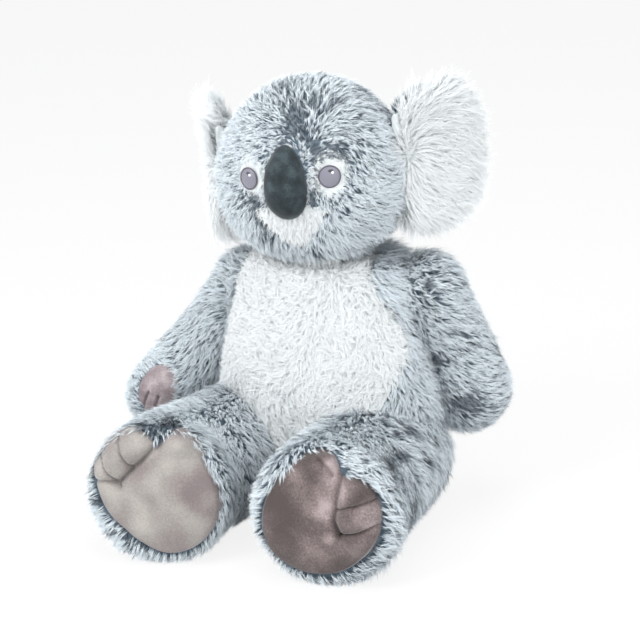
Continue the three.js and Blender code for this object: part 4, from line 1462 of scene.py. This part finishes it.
@dataclass
class Leg:
    """A leg that ends in a velvety sole."""

    side: Side
    splay: float
    foot_turn: float
    toes: Toes
    fabric: ShortFabric
    hip_radius: float = 75 * MM
    length: float = 214 * MM
    width: float = 160 * MM
    foot: float = 60 * MM
    foot_tilt: float = 5
    sole_cap: float = 26 * MM
    crown: float = 11 * MM
    toe_height: float = 9 * MM
    swell_shares: tuple[float, ...] = (0, 0, 0, 0.1, 0.8, 1)

    def __post_init__(self) -> None:
        """Works out the leg's form and its place from the hip's hinge."""
        s = self.side.value
        footward = turn(2, self.foot_turn) @ turn(0, -self.foot_tilt) @ np.array([0, -1, 0])
        ankle = np.array([0, self.foot - self.length, 0])
        self.end = ankle + footward * self.foot
        share = self.hip_radius / (self.width / 2)
        swell = tuple(share + (1 - share) * v for v in self.swell_shares)
        spine = (0, self.hip_radius, 0), (0, (self.foot - self.length) / 2, 0), ankle, self.end
        ends = Cap(self.hip_radius), Cap(self.sole_cap, 4)
        self.form = Form(spine, self.width / 2, self.width / 2, *ends, swell, swell)
        self.place = Place(joint_origin(f"leg_{self.side.word}_swing"), turn(2, s * self.splay))
        across = unit(np.cross([0, 0, 1], footward))
        self.sole_axes = np.stack([across, np.cross(footward, across), footward], 1)

    def outline_radius(self, angle: Array) -> Array:
        """The sole's outline: the mean of five readings of its measured points, which rounds their corners.

        Args:
            angle: directions on the sole, in radians.

        Returns:
            The radius in each direction.
        """
        x, y = (np.asarray(self.toes.outline) * MM).T
        angles, radii, turned = np.arctan2(y, x), np.hypot(x, y), (-0.09, -0.045, 0, 0.045, 0.09)
        return np.mean([np.interp(angle + d, angles, radii, period=2 * math.pi) for d in turned], axis=0)

    def on_sole(self, local: Array) -> Array:
        """How near each place is to the sole.

        Args:
            local: points on the leg.

        Returns:
            0 at its middle, 1 on its outline and far elsewhere on the leg.
        """
        offset = (local - self.end) @ self.sole_axes
        near = np.hypot(offset[:, 0], offset[:, 1]) / self.outline_radius(np.arctan2(offset[:, 1], offset[:, 0]))
        return np.where(offset[:, 2] > -self.sole_cap * 0.42, near, FAR)

    def build(self) -> None:
        """Makes the skin, the coat and the sole."""
        s, word = self.side.value, self.side.word
        name, floor = f"leg_{word}", -self.place.origin[2]
        skin = Skin(self.form, self.place, lambda local: held(local, 2, 0.3 * MM + floor, math.inf))
        nodes = f"leg_cover_{word}", f"leg_filling_{word}"
        body = dress(skin.mesh(f"{name}_backing"), GREY_BACKING, name, "grey_pile", *nodes)

        def along(local: Array) -> Array:
            """Out over the top of the leg, down its sides and a little towards the foot."""
            return np.stack([local[:, 0] * 14 + 0.4 * s, np.full(len(local), -0.3), np.full(len(local), -0.75)], -1)

        def rim(local: Array) -> Array:
            """1 by the sole and 0 on the rest of the leg."""
            return 1 - ramp(self.on_sole(local), 1.05, 1.5)

        def bare(local: Array) -> Array:
            """1, but none on the sole or under the leg, and less where the torso covers the hip."""
            clear = ramp(self.on_sole(local), 0.93, 0.99) * ramp(local[:, 2] - floor, 1 * MM, 5 * MM)
            return clear * np.where(local[:, 1] > 20 * MM, 0.3, 1)

        for number, half in enumerate(("foot", "thigh")):
            Coat(
                f"{name}_pile_{half}",
                name,
                GREY_PILE,
                Pile(17 * MM, locks_per_cm2=12.5, lie=20, parting=0.6),
                along,
                lambda local, n=number: bare(local) * ((local[:, 1] > -100 * MM) == n),
                lambda local: (1 - 0.1 * rim(local)) * (1 + 0.5 * ramp(local[:, 0] * s, 30 * MM, 75 * MM)),
                lambda local: -0.3 * rim(local),
                seed=61 + s + 4 * number,
            ).grow(skin)
        self.build_sole(name)

    def build_sole(self, name: str) -> None:
        """The sole: a padded sheet over the foot's end, drawn in along its stitches and folds.

        The height is the foot's own rounded end, plus a low crown, plus a bell-shaped swell for each toe, less a
        narrow groove along each stitched line and a wider one along each fold. Its rim is drawn down into the foot.

        Args:
            name: the leg's name.
        """
        r, a = disc_grid(90, 220)
        radius = r * self.outline_radius(a)
        plane = np.stack([radius * np.cos(a), radius * np.sin(a)], -1)
        share = np.minimum(radius / (self.width / 2), 0.985)
        fall = self.sole_cap * (1 - (1 - share**4) ** 0.25)
        height = 2.5 * MM - fall * 0.7 + self.crown * (1 - r**3)
        flat = np.concatenate([plane, np.zeros_like(r)[..., None]], -1)
        ragged = wander(flat, 9 * MM, 5)
        # The rim is painted darker as painted shade where the sole turns down into the foot, and the spots add painted
        # highlights and painted shade.
        crease, nap = np.zeros_like(height), -0.1 * ramp(r, 0.8, 1.0)
        for x, y, size, strength in self.toes.strokes:
            apart = np.linalg.norm(plane - np.array([x, y]) * MM, axis=-1) / (size * MM)
            nap += strength * (1 - ramp(apart + 0.3 * ragged, 0.4, 1.3))
        for x, y, size in self.toes.pads:
            height += self.toe_height * bell(np.linalg.norm(plane - np.array([x, y]) * MM, axis=-1), size * MM)
        for lines, depth, wide in ((self.toes.stitches, 4.5 * MM, 1.8 * MM), (self.toes.folds, 6 * MM, 3.6 * MM)):
            for line in lines:
                apart = line_distance(plane, np.array(line) * MM)
                height -= depth * bell(apart, wide) + 1.4 * MM * bell(apart, 3 * wide)
                # Painted shade along each stitch and fold.
                crease = np.maximum(crease, 0.45 * bell(apart, 0.6 * wide))
        height += 1.6 * MM * wander(flat, 8 * MM, 71 + self.side.value) * (1 - r**6)
        height = np.maximum(height, 0.5 * MM - fall * 0.9)
        tucked = ramp(r, 0.92, 1.0)
        height = height * (1 - tucked) - (4 * MM + fall) * tucked
        points = self.place.points(np.concatenate([plane, height[..., None]], -1) @ self.sole_axes.T + self.end)
        points[..., 2] = np.maximum(points[..., 2], FLOOR_GAP)
        sole = disc_mesh(f"sole_velboa_{self.side.word}", points)
        dress(sole, self.fabric, name, "plush_pad", f"foot_sole_{self.side.word}")
        set_attribute(sole, "crease", from_middle(crease))
        set_attribute(sole, "nap", from_middle(nap))


@dataclass
class Studio:
    """A pale floor, soft lamps and the camera."""

    azimuth: float = 26
    elevation: float = 19
    roll: float = 2
    distance: float = 2.2
    field_of_view: float = 2 * math.degrees(math.atan(320 / (2200 / 1.18)))
    target_from_neck: Vector = (22.495 * MM, -65.5 * MM, -76 * MM)
    floor_half: float = 6.0
    lamps: tuple[tuple[str, Vector, float, float], ...] = (
        ("key_softbox", (-0.9, -1.7, 1.9), 1.3, 48),
        ("fill_softbox", (1.9, -1.1, 1.1), 1.6, 23),
        ("top_softbox", (0.2, 0.1, 2.3), 1.4, 21),
    )

    def build(self) -> None:
        """Sets the view, the lights and the floor."""
        scene = bpy.context.scene
        scene.view_settings.view_transform = "Standard"
        target = joint_origin("head_turn") + np.array(self.target_from_neck)
        a, e, p = map(math.radians, (self.azimuth, self.elevation, self.roll))
        right = np.array([math.cos(a), math.sin(a), 0])
        toward = np.array([math.sin(a) * math.cos(e), -math.cos(a) * math.cos(e), math.sin(e)])
        up = np.cross(toward, right)
        right, up = right * math.cos(p) - up * math.sin(p), right * math.sin(p) + up * math.cos(p)
        camera = bpy.data.cameras.new("camera")
        camera.sensor_fit = "HORIZONTAL"
        camera.angle = math.radians(self.field_of_view)
        camera.clip_end = 50
        scene.camera = self.stand("camera", camera, (right, up, toward), target + toward * self.distance)
        for name, at, size, power in self.lamps:
            light = bpy.data.lights.new(name, "AREA")
            light.size, light.energy = size, power
            back = unit(np.array(at) - target * 0.6)
            side = unit(np.cross([0, 0, 1], back))
            self.stand(name, light, (side, np.cross(back, side), back), at)
        self.world()
        self.floor()

    def stand(self, name: str, data: bpy.types.ID, axes: tuple[Array, Array, Array], at: Vector) -> bpy.types.Object:
        """Stands a lamp or the camera in the studio.

        Args:
            name: its name.
            data: the lamp or camera.
            axes: the directions of its own X, Y and Z.
            at: its place.

        Returns:
            The object.
        """
        obj = bpy.data.objects.new(name, data)
        matrix = np.eye(4)
        matrix[:3, 0], matrix[:3, 1], matrix[:3, 2], matrix[:3, 3] = *axes, at
        obj.matrix_world = Matrix(matrix.tolist())
        bpy.context.scene.collection.objects.link(obj)
        return obj

    def world(self) -> None:
        """Plain white to the camera, and a soft even light on the toy."""
        world = bpy.data.worlds.new("studio_air")
        tree = emptied(world)
        seen = add_node(tree, "LightPath").outputs["Is Camera Ray"]
        white = add_node(tree, "Background", Color=(1, 1, 1, 1), Strength=1.0)
        soft = add_node(tree, "Background", Color=(0.95, 0.98, 1, 1), Strength=0.57)
        mixed = add_node(tree, "MixShader", in0=seen, in1=soft, in2=white)
        add_node(tree, "OutputWorld", Surface=mixed)
        bpy.context.scene.world = world

    def floor(self) -> None:
        """A sweep of matt white paper that keeps the toy's shadow and lifts itself to white for the camera."""
        corners = np.array([[-1, -1, 0], [1, -1, 0], [1, 1, 0], [-1, 1, 0]]) * self.floor_half
        floor = make_mesh("studio_floor", corners, [np.array([[0, 1, 2, 3]])])
        material = bpy.data.materials.new("matt_white_paper_sweep")
        tree = emptied(material)
        seen = add_node(tree, "LightPath").outputs["Is Camera Ray"]
        paper = add_node(tree, "BsdfDiffuse", Color=(0.85, 0.85, 0.85, 1))
        glow = add_node(tree, "Emission", Color=(1, 1, 1, 1), Strength=1.0)
        lift = add_node(tree, "Math", {"operation": "MULTIPLY"}, in0=seen, in1=0.86)
        mixed = add_node(tree, "MixShader", in0=lift, in1=paper, in2=glow)
        add_node(tree, "OutputMaterial", Surface=mixed)
        floor.data.materials.append(material)


def main() -> None:
    """Loads the frame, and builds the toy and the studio."""
    logging.basicConfig(level=logging.INFO, format="%(message)s")
    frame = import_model()
    JOINTS.update({joint["name"]: joint for joint in frame["joints"]})
    torso, head = Torso(), Head()
    arms = [Arm(Side.LEFT, 20, 10 * MM, -75, 196 * MM), Arm(Side.RIGHT, -27, 48 * MM, 78, 218 * MM)]
    legs = [Leg(Side.LEFT, 2, 10, LEFT_TOES, PAINTED_SHADE_TAUPE_VELBOA), Leg(Side.RIGHT, 13, 29, RIGHT_TOES, TAUPE_VELBOA)]
    torso.build([(limb.form, limb.place) for limb in arms + legs])
    torso.build_neck()
    head.build()
    for ear in (Ear(Side.LEFT, 52, 0), Ear(Side.RIGHT, 63, 14 * MM)):
        ear.build(head)
    for limb in arms + legs:
        limb.build()
    Studio().build()


if __name__ == "__main__":
    main()
